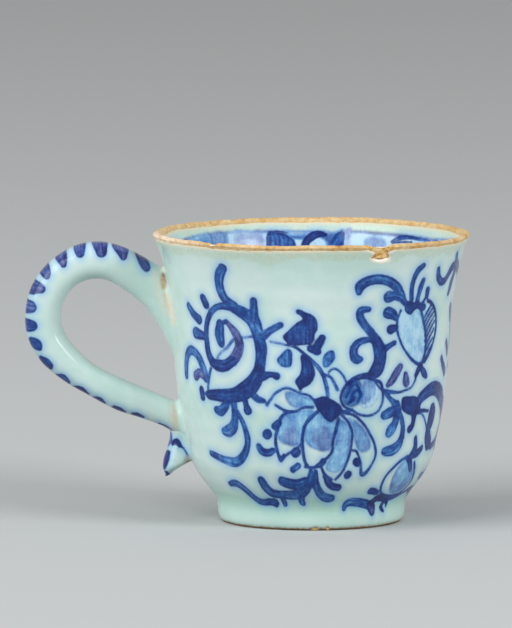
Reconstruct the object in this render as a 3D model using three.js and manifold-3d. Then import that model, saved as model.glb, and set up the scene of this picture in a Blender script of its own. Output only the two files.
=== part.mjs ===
// A small tin-glazed earthenware coffee cup with a looped handle. Millimetres, +Z up.
// Every fired layer is a piece of its own: the bare clay, the slip that joins it, and the glaze coats.
import * as THREE from "three";
import { mergeVertices } from "three/addons/utils/BufferGeometryUtils.js";
import Module from "manifold-3d";

const wasm = await Module();
wasm.setup();

// Driving dimensions
const CUP_HEIGHT = 70;
const RIM_RADIUS = 38.3;
const FOOT_HEIGHT = 5.8;
const FOOT_RADIUS = 22.7;
const FOOT_BORE_RADIUS = 18.6;
const FLOOR_UNDERSIDE = 4.2;
const FLOOR_TOP = 8;

// Thicknesses and gaps
const LIP_THICKNESS = 1.8;
const GLAZE = 0.4;
const SEAM = 0.05;
const COAT = GLAZE + SEAM;
const CORE_GAP = 0.2;
const JOINT_GAP = 0.3;
const SLIP_THICKNESS = 1.2;
const SLIP_SPREAD = 0.9;

// Where the glaze stops and the clay shows
const RIM_BARE_HEIGHT = 1.5;
const FOOT_BARE_HEIGHT = 0.9;
const EDGE_STEP = 0.3;
const LIP_ROUNDING = 0.6;
const LIP_FLARE = 0.4;
const FOOT_CHAMFER = 0.4;
const FOOT_ROUNDING = 0.7;
const UNDERSIDE_FILLET = 1;

// How finely each shape is divided
const SEGMENTS = 40;
const WALL_STEPS = 10;
const INSIDE_STEPS = 10;
const SECTION_SIDES = 12;
const STRAP_STATIONS = 26;
const TAIL_STATIONS = 8;
const SECTION_SQUARENESS = 2.4;

// The glazed outside of the wall, from the foot to where the bare lip starts: radius, height
const GLAZE_TOP = CUP_HEIGHT - RIM_BARE_HEIGHT;
const OUTSIDE_OUTLINE = [
  [23.2, FOOT_HEIGHT], [25.4, 8.7], [27.6, 11.8], [29.3, 15.5], [30.6, 21], [31.8, 27.5], [32.8, 35],
  [33.4, 43], [34.1, 52], [35.5, 60.5], [36.8, 65.6], [RIM_RADIUS - LIP_FLARE, GLAZE_TOP],
];

// The glazed inside, from the bare lip down to the middle of the floor
const INSIDE_OUTLINE = [
  [RIM_RADIUS - LIP_THICKNESS - LIP_FLARE, GLAZE_TOP], [34.6, 65], [33, 59.5], [31.4, 51], [30.6, 42],
  [29.6, 32], [28.2, 23.5], [25.6, 16], [21, 10.8], [14, 8.6], [0, FLOOR_TOP],
];

// The handle seen from the side, as pairs of points on its outer and its inner edge:
// outer x, outer z, inner x, inner z, width. It starts at the upper join, and x is from the cup's axis.
const STRAP_RAILS = [
  [-32.0, 59.0, -31.0, 38.5, 13.0],
  [-34.6, 60.2, -33.8, 41.5, 12.6],
  [-36.0, 61.0, -36.4, 46.4, 11.8],
  [-38.2, 62.6, -40.2, 51.8, 11.0],
  [-42.4, 64.9, -45.6, 56.2, 10.6],
  [-47.0, 66.8, -49.6, 58.3, 10.4],
  [-51.8, 67.6, -52.2, 58.6, 10.2],
  [-57.6, 66.4, -55.0, 58.0, 10.2],
  [-63.8, 62.3, -57.8, 56.1, 10.2],
  [-67.8, 56.6, -59.8, 52.9, 10.2],
  [-69.2, 50.0, -60.4, 49.2, 10.2],
  [-68.5, 44.0, -59.7, 45.6, 10.0],
  [-65.4, 38.6, -57.2, 42.0, 9.8],
  [-59.8, 33.8, -53.6, 38.5, 9.6],
  [-54.0, 30.4, -49.8, 36.1, 9.4],
  [-47.6, 27.0, -44.8, 33.8, 9.4],
  [-41.4, 24.9, -39.2, 31.5, 9.6],
  [-36.4, 23.0, -34.6, 29.7, 10.0],
  [-32.4, 20.9, -31.0, 28.2, 10.4],
  [-28.4, 19.0, -27.4, 26.4, 10.4],
];

// A height that no clay of the handle's joins reaches
const BETWEEN_JOINS = 34;

// The pinched tail under the lower join, from its neck down to its tip, written as the handle is
const TAIL_RAILS = [
  [-34.2, 21.8, -27.6, 22.0, 8.6],
  [-34.3, 19.8, -27.6, 19.6, 8.2],
  [-35.0, 17.2, -27.4, 17.4, 8.6],
  [-35.8, 14.6, -27.6, 15.4, 9.2],
  [-35.9, 12.6, -30.6, 13.6, 8.6],
  [-35.3, 11.0, -33.2, 12.0, 5.4],
];

// Damage on the lip, at angles round the cup from straight in front, positive towards +X
const LIP_CHIP = { angle: 25.5, width: 3.3, height: 3.1, depth: 1.2 };
const LIP_NICK = { angle: -38, width: 2.2, height: 0.9, depth: 3 };

const COLOURS = {
  clay: { color: 0xd9ae78, roughness: 0.85, metalness: 0 },
  slip: { color: 0xb98552, roughness: 0.9, metalness: 0 },
  glaze: { color: 0xc4dcd3, roughness: 0.18, metalness: 0 },
};

// A closed geometry becomes a solid once its repeated corners are merged and its flat triangles are gone
function solid(geometry) {
  const bare = new THREE.BufferGeometry();
  bare.setAttribute("position", geometry.attributes.position);
  if (geometry.index) {
    bare.setIndex(geometry.index);
  }
  const merged = mergeVertices(bare, 1e-4);
  const corners = merged.index.array;
  const triangles = [];
  for (let i = 0; i < corners.length; i += 3) {
    const [a, b, c] = corners.slice(i, i + 3);
    if (a !== b && b !== c && c !== a) {
      triangles.push(a, b, c);
    }
  }
  const mesh = new wasm.Mesh({
    numProp: 3,
    vertProperties: new Float32Array(merged.attributes.position.array),
    triVerts: new Uint32Array(triangles),
  });
  return new wasm.Manifold(mesh);
}

function geometryOf(shape) {
  const mesh = shape.getMesh();
  const geometry = new THREE.BufferGeometry();
  geometry.setAttribute("position", new THREE.BufferAttribute(new Float32Array(mesh.vertProperties), 3));
  geometry.setIndex(new THREE.BufferAttribute(new Uint32Array(mesh.triVerts), 1));
  geometry.computeVertexNormals();
  return geometry;
}

// Turns a profile of radius and height points round the cup's axis
function turned(profile) {
  const points = profile.map(([radius, height]) => new THREE.Vector2(radius, height));
  return solid(new THREE.LatheGeometry(points, SEGMENTS).rotateX(Math.PI / 2));
}

function closed(profile) {
  return [...profile, profile[0]];
}

function smooth(outline, steps) {
  const curve = new THREE.SplineCurve(outline.map(([radius, height]) => new THREE.Vector2(radius, height)));
  return curve.getSpacedPoints(steps).map((point) => [point.x, point.y]);
}

// Moves a profile sideways, towards the clay where the depth is positive.
// Each layer moves the same points, so layers of one wall nest without touching.
function layer(profile, depth) {
  return profile.map(([radius, height], i) => {
    const before = profile[Math.max(i - 1, 0)];
    const after = profile[Math.min(i + 1, profile.length - 1)];
    const along = new THREE.Vector2(after[0] - before[0], after[1] - before[1]).normalize();
    const onAxis = radius === 0;
    return [onAxis ? 0 : radius - depth * along.y, height + depth * along.x];
  });
}

const outside = smooth(OUTSIDE_OUTLINE, WALL_STEPS);
const inside = smooth(INSIDE_OUTLINE, INSIDE_STEPS);
const underside = FLOOR_UNDERSIDE + COAT;

function makeCupWall() {
  const shoulder = CUP_HEIGHT - LIP_ROUNDING;
  const lip = [
    [outside.at(-1)[0], GLAZE_TOP + EDGE_STEP], [RIM_RADIUS, shoulder],
    [RIM_RADIUS - LIP_ROUNDING, CUP_HEIGHT], [RIM_RADIUS - LIP_THICKNESS + LIP_ROUNDING, CUP_HEIGHT],
    [RIM_RADIUS - LIP_THICKNESS, shoulder], [inside[0][0], GLAZE_TOP + EDGE_STEP],
  ];
  const base = [[0, underside], [FOOT_RADIUS - COAT, underside]];
  return turned([...base, ...layer(outside, COAT), ...lip, ...layer(inside, COAT)]);
}

function makeFootRing() {
  const top = underside - SEAM;
  const bore = FOOT_BORE_RADIUS + COAT;
  const skin = FOOT_RADIUS - COAT;
  return turned(closed([
    [bore, FOOT_CHAMFER], [bore + FOOT_CHAMFER, 0], [skin - FOOT_ROUNDING, 0],
    [skin - FOOT_ROUNDING / 4, FOOT_ROUNDING / 2], [skin, FOOT_BARE_HEIGHT], [skin, top], [bore, top],
  ]));
}

function makeOutsideGlaze() {
  return turned(closed([...outside, ...layer(outside, GLAZE).reverse()]));
}

function makeInsideGlaze() {
  return turned([...layer(inside, GLAZE).reverse(), ...inside]);
}

// The coat on the foot ends in a feather edge just over the table, and meets the wall's coat at the top
function makeFootGlaze() {
  const back = FOOT_RADIUS - GLAZE;
  const top = FOOT_HEIGHT - SEAM;
  return turned(closed([
    [back, FOOT_BARE_HEIGHT], [FOOT_RADIUS, FOOT_BARE_HEIGHT + EDGE_STEP], [FOOT_RADIUS, FOOT_HEIGHT / 2],
    [FOOT_RADIUS + GLAZE, top], [FOOT_RADIUS + 2 * SEAM, top], [back + 2 * SEAM, underside],
    [back, underside - EDGE_STEP],
  ]));
}

function makeUndersideGlaze() {
  const wall = FOOT_BORE_RADIUS + GLAZE;
  const top = FLOOR_UNDERSIDE + GLAZE;
  return turned([
    [0, FLOOR_UNDERSIDE], [FOOT_BORE_RADIUS - UNDERSIDE_FILLET, FLOOR_UNDERSIDE],
    [FOOT_BORE_RADIUS, FLOOR_UNDERSIDE - UNDERSIDE_FILLET], [FOOT_BORE_RADIUS, FOOT_BARE_HEIGHT],
    [wall, FOOT_BARE_HEIGHT], [wall, top], [0, top],
  ]);
}

// The rings of a tube whose sections hang between two edges, grown or shrunk all round by one distance
function sections(rails, stations, grow) {
  const through = (points) => new THREE.CatmullRomCurve3(points.map(([x, z]) => new THREE.Vector3(x, 0, z)));
  const outerEdge = through(rails.map((rail) => rail.slice(0, 2)));
  const innerEdge = through(rails.map((rail) => rail.slice(2, 4)));
  const widths = new THREE.SplineCurve(rails.map((rail, i) => new THREE.Vector2(i, rail[4])));
  const rounded = (value) => Math.sign(value) * Math.abs(value) ** (2 / SECTION_SQUARENESS);
  const points = [];
  for (let s = 0; s <= stations; s += 1) {
    const outer = outerEdge.getPoint(s / stations);
    const middle = innerEdge.getPoint(s / stations).add(outer).multiplyScalar(0.5);
    const across = outer.sub(middle);
    const reach = across.length() + grow;
    const halfWidth = widths.getPoint(s / stations).y / 2 + grow;
    across.normalize();
    for (let k = 0; k < SECTION_SIDES; k += 1) {
      const angle = (2 * Math.PI * k) / SECTION_SIDES;
      const point = middle.clone().addScaledVector(across, reach * rounded(Math.cos(angle)));
      point.y = halfWidth * rounded(Math.sin(angle));
      points.push(point);
    }
  }
  return points;
}

// A closed tube through those rings, with a flat fan at each end
function strap(rails, stations, grow) {
  const corners = [];
  for (let s = 0; s < stations; s += 1) {
    for (let k = 0; k < SECTION_SIDES; k += 1) {
      const a = s * SECTION_SIDES + k;
      const b = s * SECTION_SIDES + ((k + 1) % SECTION_SIDES);
      corners.push(a, b, b + SECTION_SIDES);
      corners.push(a, b + SECTION_SIDES, a + SECTION_SIDES);
    }
  }
  const last = stations * SECTION_SIDES;
  for (let k = 1; k < SECTION_SIDES - 1; k += 1) {
    corners.push(0, k + 1, k);
    corners.push(last, last + k, last + k + 1);
  }
  const geometry = new THREE.BufferGeometry().setFromPoints(sections(rails, stations, grow));
  return solid(geometry.setIndex(corners));
}

// The space inside the wall's outer clay surface, grown outwards, which trims whatever meets the wall
function wallSpace(grow) {
  const skin = layer(outside, COAT - grow);
  return turned([[0, skin[0][1]], ...skin, [0, skin.at(-1)[1]]]);
}

const loop = (grow) => strap(STRAP_RAILS, STRAP_STATIONS, grow);
const tail = (grow) => strap(TAIL_RAILS, TAIL_STATIONS, grow);
const handleStart = wallSpace(JOINT_GAP + SLIP_THICKNESS + JOINT_GAP);

function makeStrap() {
  return loop(-GLAZE - CORE_GAP).subtract(handleStart);
}

function makeStrapGlaze() {
  return loop(0).subtract(loop(-GLAZE)).subtract(handleStart);
}

function makeTail() {
  return tail(-GLAZE - CORE_GAP).subtract(handleStart).subtract(loop(JOINT_GAP));
}

function makeTailGlaze() {
  return tail(0).subtract(tail(-GLAZE)).subtract(handleStart).subtract(loop(JOINT_GAP));
}

// The slip lies between the wall and what is stuck to it, and is squeezed out a little all round
const slipLayer = wallSpace(JOINT_GAP + SLIP_THICKNESS).subtract(wallSpace(JOINT_GAP));

function makeUpperSlip() {
  return slipLayer.intersect(loop(SLIP_SPREAD)).trimByPlane([0, 0, 1], BETWEEN_JOINS);
}

function makeLowerSlip() {
  const stuck = loop(SLIP_SPREAD).add(tail(SLIP_SPREAD));
  return slipLayer.intersect(stuck).trimByPlane([0, 0, -1], -BETWEEN_JOINS);
}

// A flake that has broken off the lip, as a flattened ball set into the wall
function flake({ angle, width, height, depth }, radius) {
  const geometry = new THREE.SphereGeometry(1, 16, 10);
  geometry.scale(width, depth, height);
  geometry.translate(0, -radius, CUP_HEIGHT);
  return solid(geometry.rotateZ(THREE.MathUtils.degToRad(angle)));
}

const chips = [flake(LIP_CHIP, RIM_RADIUS + 0.2), flake(LIP_NICK, RIM_RADIUS - LIP_THICKNESS / 2)];
const chipped = (shape) => chips.reduce((rest, chip) => rest.subtract(chip), shape);
const joinSpace = loop(SLIP_SPREAD + JOINT_GAP).add(tail(SLIP_SPREAD + JOINT_GAP));
const opened = (shape) => shape.subtract(joinSpace);

const pieces = [
  ["cup_wall", "clay", chipped(makeCupWall())],
  ["foot_ring", "clay", makeFootRing()],
  ["handle_strap", "clay", makeStrap()],
  ["handle_tail", "clay", makeTail()],
  ["upper_handle_slip", "slip", makeUpperSlip()],
  ["lower_handle_slip", "slip", makeLowerSlip()],
  ["outside_glaze", "glaze", opened(chipped(makeOutsideGlaze()))],
  ["inside_glaze", "glaze", chipped(makeInsideGlaze())],
  ["foot_glaze", "glaze", makeFootGlaze()],
  ["underside_glaze", "glaze", makeUndersideGlaze()],
  ["handle_glaze", "glaze", makeStrapGlaze()],
  ["tail_glaze", "glaze", makeTailGlaze()],
];

const cup = new THREE.Group();
for (const [name, finish, shape] of pieces) {
  const mesh = new THREE.Mesh(geometryOf(shape), new THREE.MeshStandardMaterial(COLOURS[finish]));
  mesh.name = name;
  cup.add(mesh);
}

// The origin lies under the middle of the whole object, handle included
const extent = new THREE.Box3().setFromObject(cup);
const middle = extent.getCenter(new THREE.Vector3());
cup.position.set(-middle.x, -middle.y, -extent.min.z);

const coffeeCup = new THREE.Group();
coffeeCup.add(cup);

export default coffeeCup;
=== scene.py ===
import math

import bpy
import numpy as np
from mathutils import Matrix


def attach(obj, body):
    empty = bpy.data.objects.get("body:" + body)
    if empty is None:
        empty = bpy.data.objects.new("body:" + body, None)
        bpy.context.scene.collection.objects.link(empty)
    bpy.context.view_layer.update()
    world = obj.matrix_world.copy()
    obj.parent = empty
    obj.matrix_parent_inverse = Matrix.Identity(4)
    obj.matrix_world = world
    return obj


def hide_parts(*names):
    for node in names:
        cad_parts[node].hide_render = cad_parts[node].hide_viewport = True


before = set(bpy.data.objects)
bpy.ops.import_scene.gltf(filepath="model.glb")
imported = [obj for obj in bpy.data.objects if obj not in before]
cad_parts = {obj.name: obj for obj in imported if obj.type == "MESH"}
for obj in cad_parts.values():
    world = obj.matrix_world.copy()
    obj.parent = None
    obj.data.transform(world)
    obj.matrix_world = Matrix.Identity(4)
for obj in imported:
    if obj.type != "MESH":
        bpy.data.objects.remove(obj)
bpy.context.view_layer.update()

# Millimetres to metres, and how far the cup's axis stands from the origin
MM = 0.001
AXIS_X = 15.46

# Sizes that the CAD model has too
RIM_HEIGHT = 70
GLAZE = 0.4
FOOT_RADIUS = 22.7
FOOT_BORE_RADIUS = 18.6
FLOOR_UNDERSIDE = 4.2
SECTION_SQUARENESS = 2.4

# The glazed outside and inside of the wall, and the bare lip between them: radius, height
OUTSIDE_OUTLINE = [
    (21.6, 4.4), (22.3, 5.2), (22.95, 5.9), (23.55, 6.6), (24.15, 7.3), (25.5, 9), (27.5, 11.8), (29.3, 15.5),
    (30.6, 21), (31.8, 27.5), (32.8, 35), (33.4, 43), (34.1, 52), (35.5, 60.5), (36.8, 65.6), (37.9, 68.5),
    (38.3, 69.6),
]
INSIDE_OUTLINE = [
    (36.6, 69.6), (36.1, 68.5), (34.6, 65), (33, 59.5), (31.4, 51), (30.6, 42), (29.6, 32), (28.2, 23.5),
    (25.6, 16), (21, 10.8), (14, 8.6), (6, 8.05), (0.05, 8),
]
LIP_OUTLINE = [
    (38.3, 69.35), (38.2, 69.7), (37.85, 69.95), (37.4, 70), (36.95, 69.9), (36.65, 69.6), (36.45, 69.2),
]

# The underside of the wall's clay, inside the foot
FLOOR_UNDER_WALL = [(0.05, 4.66), (20, 4.66)]

# How far up its outline each skin goes, and the heights over which its rows are denser
OUTSIDE_COAT_TOP = 69.15
INSIDE_COAT_TOP = 69.2
OUTSIDE_CLAY_TOP = 69
INSIDE_CLAY_TOP = 69.15
BAND_ZONE = 56
LIP_ZONE = 64

# The seam between a coat and the clay
SEAM = 0.06

# The coat on the foot, as distance out from the foot's radius, and height
FOOT_COAT = [
    (1.62, 7.75), (1.42, 7.3), (0.96, 6.6), (0.56, 5.9), (0.27, 5.2), (0.08, 4.5), (-0.03, 3.6), (-0.1, 2.4),
    (-0.25, 1.5), (-0.55, 0.8), (-1, 0.25),
]

# The foot's clay from inside to outside, as distances out from the bore and from the foot's radius
FOOT_BORE_SIDE = [(0.45, 4.5), (0.45, 1.4), (0.5, 0.6), (0.9, 0.05)]
FOOT_OUTER_SIDE = [(-1.7, 0), (-1.15, 0.08), (-0.9, 0.35), (-0.75, 0.9), (-0.65, 2), (-0.6, 4.5)]

# The handle from the side: outer x, outer z, inner x, inner z, width, with x from the cup's axis
STRAP_RAILS = [
    (-32.0, 59.0, -31.0, 38.5, 13.0),
    (-34.6, 60.2, -33.8, 41.5, 12.6),
    (-36.0, 61.0, -36.4, 46.4, 11.8),
    (-38.2, 62.6, -40.2, 51.8, 11.0),
    (-42.4, 64.9, -45.6, 56.2, 10.6),
    (-47.0, 66.8, -49.6, 58.3, 10.4),
    (-51.8, 67.6, -52.2, 58.6, 10.2),
    (-57.6, 66.4, -55.0, 58.0, 10.2),
    (-63.8, 62.3, -57.8, 56.1, 10.2),
    (-67.8, 56.6, -59.8, 52.9, 10.2),
    (-69.2, 50.0, -60.4, 49.2, 10.2),
    (-68.5, 44.0, -59.7, 45.6, 10.0),
    (-65.4, 38.6, -57.2, 42.0, 9.8),
    (-59.8, 33.8, -53.6, 38.5, 9.6),
    (-54.0, 30.4, -49.8, 36.1, 9.4),
    (-47.6, 27.0, -44.8, 33.8, 9.4),
    (-41.4, 24.9, -39.2, 31.5, 9.6),
    (-36.4, 23.0, -34.6, 29.7, 10.0),
    (-32.4, 20.9, -31.0, 28.2, 10.4),
    (-28.4, 19.0, -27.4, 26.4, 10.4),
]
TAIL_RAILS = [
    (-34.2, 21.8, -27.6, 22.0, 8.6),
    (-34.3, 19.8, -27.6, 19.6, 8.2),
    (-35.0, 17.2, -27.4, 17.4, 8.6),
    (-35.8, 14.6, -27.6, 15.4, 9.2),
    (-35.9, 12.6, -30.6, 13.6, 8.6),
    (-35.3, 11.0, -33.2, 12.0, 5.4),
]

# How finely the skins are divided
OUTSIDE_COLUMNS = 540
OUTSIDE_ROWS = 162
INSIDE_COLUMNS = 480
INSIDE_ROWS = 160
LIP_COLUMNS = 960
LIP_ROWS = 22
FOOT_COLUMNS = 480
UNDERSIDE_COLUMNS = 240
BACK_ROWS = 20
STRAP_STATIONS = 560
STRAP_SIDES = 128
TAIL_STATIONS = 160
TAIL_SIDES = 96
SLIP_SIDES = 96
CURVE_STEPS = 30
STROKE_STEPS = 5

# How far the coats sink into the clay where they end, and how the handle runs into the wall
EDGE_SINK = 0.62
JOIN_FILLET = 1.4
JOIN_DEPTH = 0.5

# Where the coats end: seed of the ragged edge, its height, and how far it wanders
OUTSIDE_EDGE = (3, 68.8, 0.3)
INSIDE_EDGE = (11, 68.95, 0.22)
FOOT_EDGE = (31, 0.24, 0.1)

# How the thrown wall runs out of true, as waves round the cup: size, how many go round, and where they start
WALL_SWELL = [(0.1, 2, 0.6), (0.05, 3, -1.1), (0.02, 5, 2)]
LIP_LIFT = [(0.1, 2, 1.9), (0.07, 5, 0.4), (0.05, 9, 1.2)]

# Unevenness of the surfaces, as layers of noise: how far it swings, the size of its bumps, and its seed
LIP_ROUGHNESS = [(0.07, 1.6, 21), (0.04, 0.7, 22)]
LIP_UNEVENNESS = [(0.09, 2.2, 23)]
BROKEN_ROUGHNESS = [(0.07, 0.8, 25)]
FOOT_ROUGHNESS = [(0.08, 1.4, 41), (0.04, 0.6, 42)]
UNDERSIDE_UNEVENNESS = [(0.05, 6, 51)]
HANDLE_UNEVENNESS = [(0.1, 9, 61), (0.05, 4, 62)]

# Rings of the bead of slip at the handle's joins: height over the wall, and share of its bulge
BEAD_RINGS = [(-0.3, 0), (-0.1, 0.7), (0.1, 1), (0.35, 0.8), (0.6, 0.3), (0.7, -0.6)]

# The painting is drawn on the wall unrolled: arc in mm at this radius, 0 in front and positive to +X
UNROLL_RADIUS = 33
TURN = 2 * math.pi * UNROLL_RADIUS

# How far round a mark its edge is measured, and what stands for any greater distance
MARGIN = 3
FAR = 9.0

# What a layer of paint holds where no mark has reached, and how softly one mark of it runs into the next
UNPAINTED = {"away": FAR, "tone": 0.5, "violet": 0.0, "over": 0.0}
BLEND = {"ink": 0.6, "wash": 1.6}

# How far apart the brush noise of two strokes is taken
BRUSH_STEP = 7.0

# Inks: how dark, from 0 for a pale wash to 1 for the darkest cobalt, and how violet
INKS = {
    "pale": (0.04, 0.3),
    "faint": (0.1, 0.0),
    "light": (0.33, 0.06),
    "lilac": (0.25, 0.7),
    "soft": (0.36, 0.35),
    "blue": (0.58, 0.05),
    "line": (0.68, 0.15),
    "violet": (0.6, 0.75),
    "dusk": (0.68, 0.6),
    "cobalt": (0.69, 0.03),
    "plum": (0.85, 0.7),
    "navy": (0.83, 0.12),
    "dark": (0.98, 0.1),
}

# Strokes of the brush: ink, then arc, height and width along the stroke
RING_FLOWER = [
    ("cobalt", [(-20.8, 63.9, 2.4), (-21.9, 62.3, 2.7), (-22.4, 60, 2.5), (-22, 58, 2.4), (-20.9, 56.2, 2.4),
        (-19, 54.9, 2.6)]),
    ("cobalt", [(-19.3, 54.5, 2.4), (-16.3, 53.2, 3.2), (-14, 51.5, 3.6), (-12.9, 48, 2.9), (-12.3, 45, 3.1),
        (-12.4, 42.5, 2.8), (-12.8, 40, 2.9)]),
    ("navy", [(-12.8, 40, 2.8), (-14.3, 36.8, 4), (-16.5, 34.8, 4.4), (-19.5, 33.4, 3.8), (-22.5, 32.9, 3.6),
        (-25.5, 32.9, 3), (-28.2, 32.8, 2.4), (-29.1, 32.9, 1.2)]),
    ("cobalt", [(-19.2, 54.5, 2), (-22, 54.7, 1.8), (-24.3, 54.1, 1.6), (-26.2, 52.5, 1.7),
        (-27.5, 50.3, 1.7), (-28, 47.5, 1.7), (-27.9, 44.7, 1.8), (-27.3, 42.3, 2), (-26.2, 40.7, 2.4)]),
    ("violet", [(-20, 41.6, 2.9), (-18.5, 43.6, 2.7), (-17.9, 46, 2.4), (-18.9, 48.3, 2.2),
        (-20.3, 49.9, 1.5), (-21.3, 50.9, 1.2)]),
    ("navy", [(-26.4, 40.7, 2.2), (-24, 40.1, 3), (-22, 40.4, 2.9), (-20, 41.6, 2.8)]),
    ("cobalt", [(-23.3, 50.2, 2.4), (-23.6, 47.8, 3.0), (-23.2, 45.6, 2.2)]),
    ("cobalt", [(-22.6, 50.5, 1.2), (-21.3, 51.1, 1.1)]),
    ("soft", [(-12.6, 48.2, 0.7), (-15.5, 47.6, 0.6), (-17.6, 47.3, 0.6)]),
    ("soft", [(-19.6, 46.8, 0.8), (-21.4, 44.7, 0.8), (-23.1, 43.6, 0.6), (-24.8, 41.9, 0.6)]),
    ("blue", [(-26.9, 39.3, 0.9), (-27.8, 37.2, 0.9), (-28.5, 34.4, 0.8)]),
    ("cobalt", [(-13.6, 56.4, 1.9), (-13.8, 54.4, 2.2), (-13.9, 52.4, 3)]),
    ("cobalt", [(-11.8, 47.9, 2.4), (-9.5, 49.6, 1.7), (-7.4, 50.8, 1.6)]),
    ("navy", [(-12.2, 38.2, 2.4), (-9.9, 38.8, 1.4), (-8.5, 38.4, 1.9)]),
    ("cobalt", [(-15, 34, 1.8), (-13.6, 32.7, 1.8), (-11.9, 32.3, 1.2)]),
    ("navy", [(-17, 32.4, 1.6), (-16.7, 30.8, 1.6), (-16.4, 29.8, 2.4)]),
    ("cobalt", [(-28, 56.2, 2.1), (-27.3, 54.6, 2.2)]),
    ("cobalt", [(-34.2, 53.8, 1.8), (-32.5, 52, 2.2), (-30.4, 50.8, 2.5)]),
    ("cobalt", [(-31.8, 47.4, 3), (-29.4, 47, 2.3)]),
    ("blue", [(-38, 36.6, 2), (-37.6, 39, 2.2), (-36.7, 41.6, 2.4), (-35, 42.9, 2.4), (-33.2, 42.8, 2.3),
        (-31.4, 41.6, 2.3), (-30.1, 39.8, 2.3), (-29.4, 38.2, 2.2), (-29.1, 36.4, 1.6)]),
    ("violet", [(-33, 36.9, 2.4), (-31.5, 37.8, 2.2), (-29.8, 37.4, 2.4)]),
    ("navy", [(-31.1, 33.8, 1.9), (-30.9, 32, 2)]),
    ("blue", [(-30.6, 33, 0.8), (-29, 32.9, 0.8)]),
    ("cobalt", [(-26, 29.2, 2), (-24.6, 29.1, 2.6), (-23, 30.4, 2.4), (-22.2, 31.8, 2)]),
    ("blue", [(-24.2, 24.2, 2), (-22.8, 24.3, 3), (-21.2, 25.4, 2.9), (-20.4, 27.4, 2.2), (-20.2, 29.4, 2),
        (-20.3, 31.6, 2)]),
    ("blue", [(-19.4, 29.4, 1.1), (-18, 26.4, 1.5), (-17.3, 24.2, 1.7), (-17.2, 22, 1.8), (-18, 19.8, 2),
        (-19.6, 17.9, 2.3), (-21.6, 16.8, 2.4), (-24, 16.8, 2.3), (-26.6, 17.2, 2), (-29, 17.8, 1.9),
        (-30.8, 18.2, 1.6)]),
]
BIRD_BUD = [
    ("navy", [(2.3, 47.7, 1.8), (1.4, 46, 2.2), (0.9, 45.2, 1.8)]),
    ("navy", [(-0.4, 45.2, 1.8), (1.2, 44.5, 2)]),
    ("soft", [(-9.9, 46.7, 0.5), (-8, 46.4, 0.6), (-6.2, 46, 0.6)]),
    ("cobalt", [(-6.2, 46, 0.6), (-4, 45.5, 0.7), (-2.1, 44.1, 0.8), (-0.1, 42.3, 0.9), (1.6, 40.5, 1),
        (2.7, 38.6, 1)]),
    ("blue", [(2.7, 38.6, 1), (3.4, 36.1, 1), (3.8, 33.6, 1)]),
    ("blue", [(2.5, 39.1, 0.7), (4.3, 38.3, 0.8), (5.2, 37, 0.8), (6.1, 35.2, 0.9)]),
    ("blue", [(3.8, 39.4, 0.6), (5, 40.3, 0.6), (6.3, 39.8, 0.6), (7.6, 38.3, 0.6), (8.3, 36.6, 0.6)]),
]
MAIN_FLOWER = [
    ("line", [(6.4, 29.8, 1.4), (8.4, 29.9, 0.82), (9.9, 30.2, 0.82)]),
    ("blue", [(-11.2, 31.4, 0.98), (-10.1, 32.8, 0.74), (-9, 34.2, 0.74), (-7.3, 35.3, 0.66),
        (-5.9, 35.6, 0.66), (-4.6, 35.2, 0.66), (-2.9, 34.4, 0.66), (-0.9, 33.9, 0.66), (0.4, 32.8, 0.74)]),
    ("line", [(-9, 31.4, 0.74), (-7.3, 30.4, 0.74), (-5.7, 29.9, 0.82), (-3.7, 30.1, 0.74),
        (-2.1, 30.9, 0.74), (0.2, 31, 0.82)]),
    ("line", [(-5.7, 29.8, 0.66), (-7.3, 28.9, 0.82), (-8.1, 27.6, 0.82), (-8.7, 25.6, 0.82),
        (-9.3, 23.7, 0.82), (-9.4, 21.7, 0.9), (-9, 19.8, 0.9), (-8.4, 17.9, 0.9)]),
    ("line", [(-8.2, 18.2, 0.82), (-7.1, 18.9, 0.82), (-5.7, 19.9, 0.74), (-4, 20.9, 0.74),
        (-2.8, 22, 0.74)]),
    ("line", [(1.6, 30.1, 0.98), (-0.1, 28.7, 0.9), (-1.5, 27, 0.9), (-2.2, 25.1, 0.9), (-2.5, 22.6, 0.9),
        (-2.3, 19.8, 0.9), (-1.9, 17.8, 0.9), (-1.2, 16.5, 0.98)]),
    ("line", [(-1.8, 16.4, 0.82), (0.4, 16.2, 0.82), (2.3, 17, 1.6), (2.9, 17.7, 1.8)]),
    ("line", [(2.9, 17.7, 0.9), (4.3, 18.9, 0.82), (5.2, 20.3, 0.82), (5.4, 22.6, 0.82), (6, 25.3, 0.9),
        (6.6, 28, 0.98)]),
    ("line", [(7.4, 28.9, 0.82), (9, 27.3, 0.74), (10.2, 24.8, 0.74), (10.3, 22, 0.74), (9.9, 19.2, 0.74),
        (9, 16.4, 0.74), (7.9, 14.5, 0.74), (6.6, 13.1, 0.74)]),
    ("line", [(2.4, 16.8, 0.74), (3, 15.2, 0.82), (4, 14, 0.82), (5.4, 13.1, 0.82)]),
    ("line", [(8.2, 29.5, 0.82), (10.4, 28.9, 0.74), (12.1, 27.6, 0.74), (13.8, 25.9, 0.74),
        (15.2, 23.9, 0.74), (16.3, 22.4, 0.74), (17.2, 20.3, 0.74), (17.4, 18.4, 0.74), (16.6, 16.4, 0.82),
        (15.2, 14.5, 1.07), (14.1, 14.1, 0.98), (13.6, 15.1, 0.9), (13.3, 17, 0.74), (12.4, 18.9, 0.66),
        (11.6, 20.1, 0.66), (10.7, 20.2, 0.66)]),
]
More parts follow.
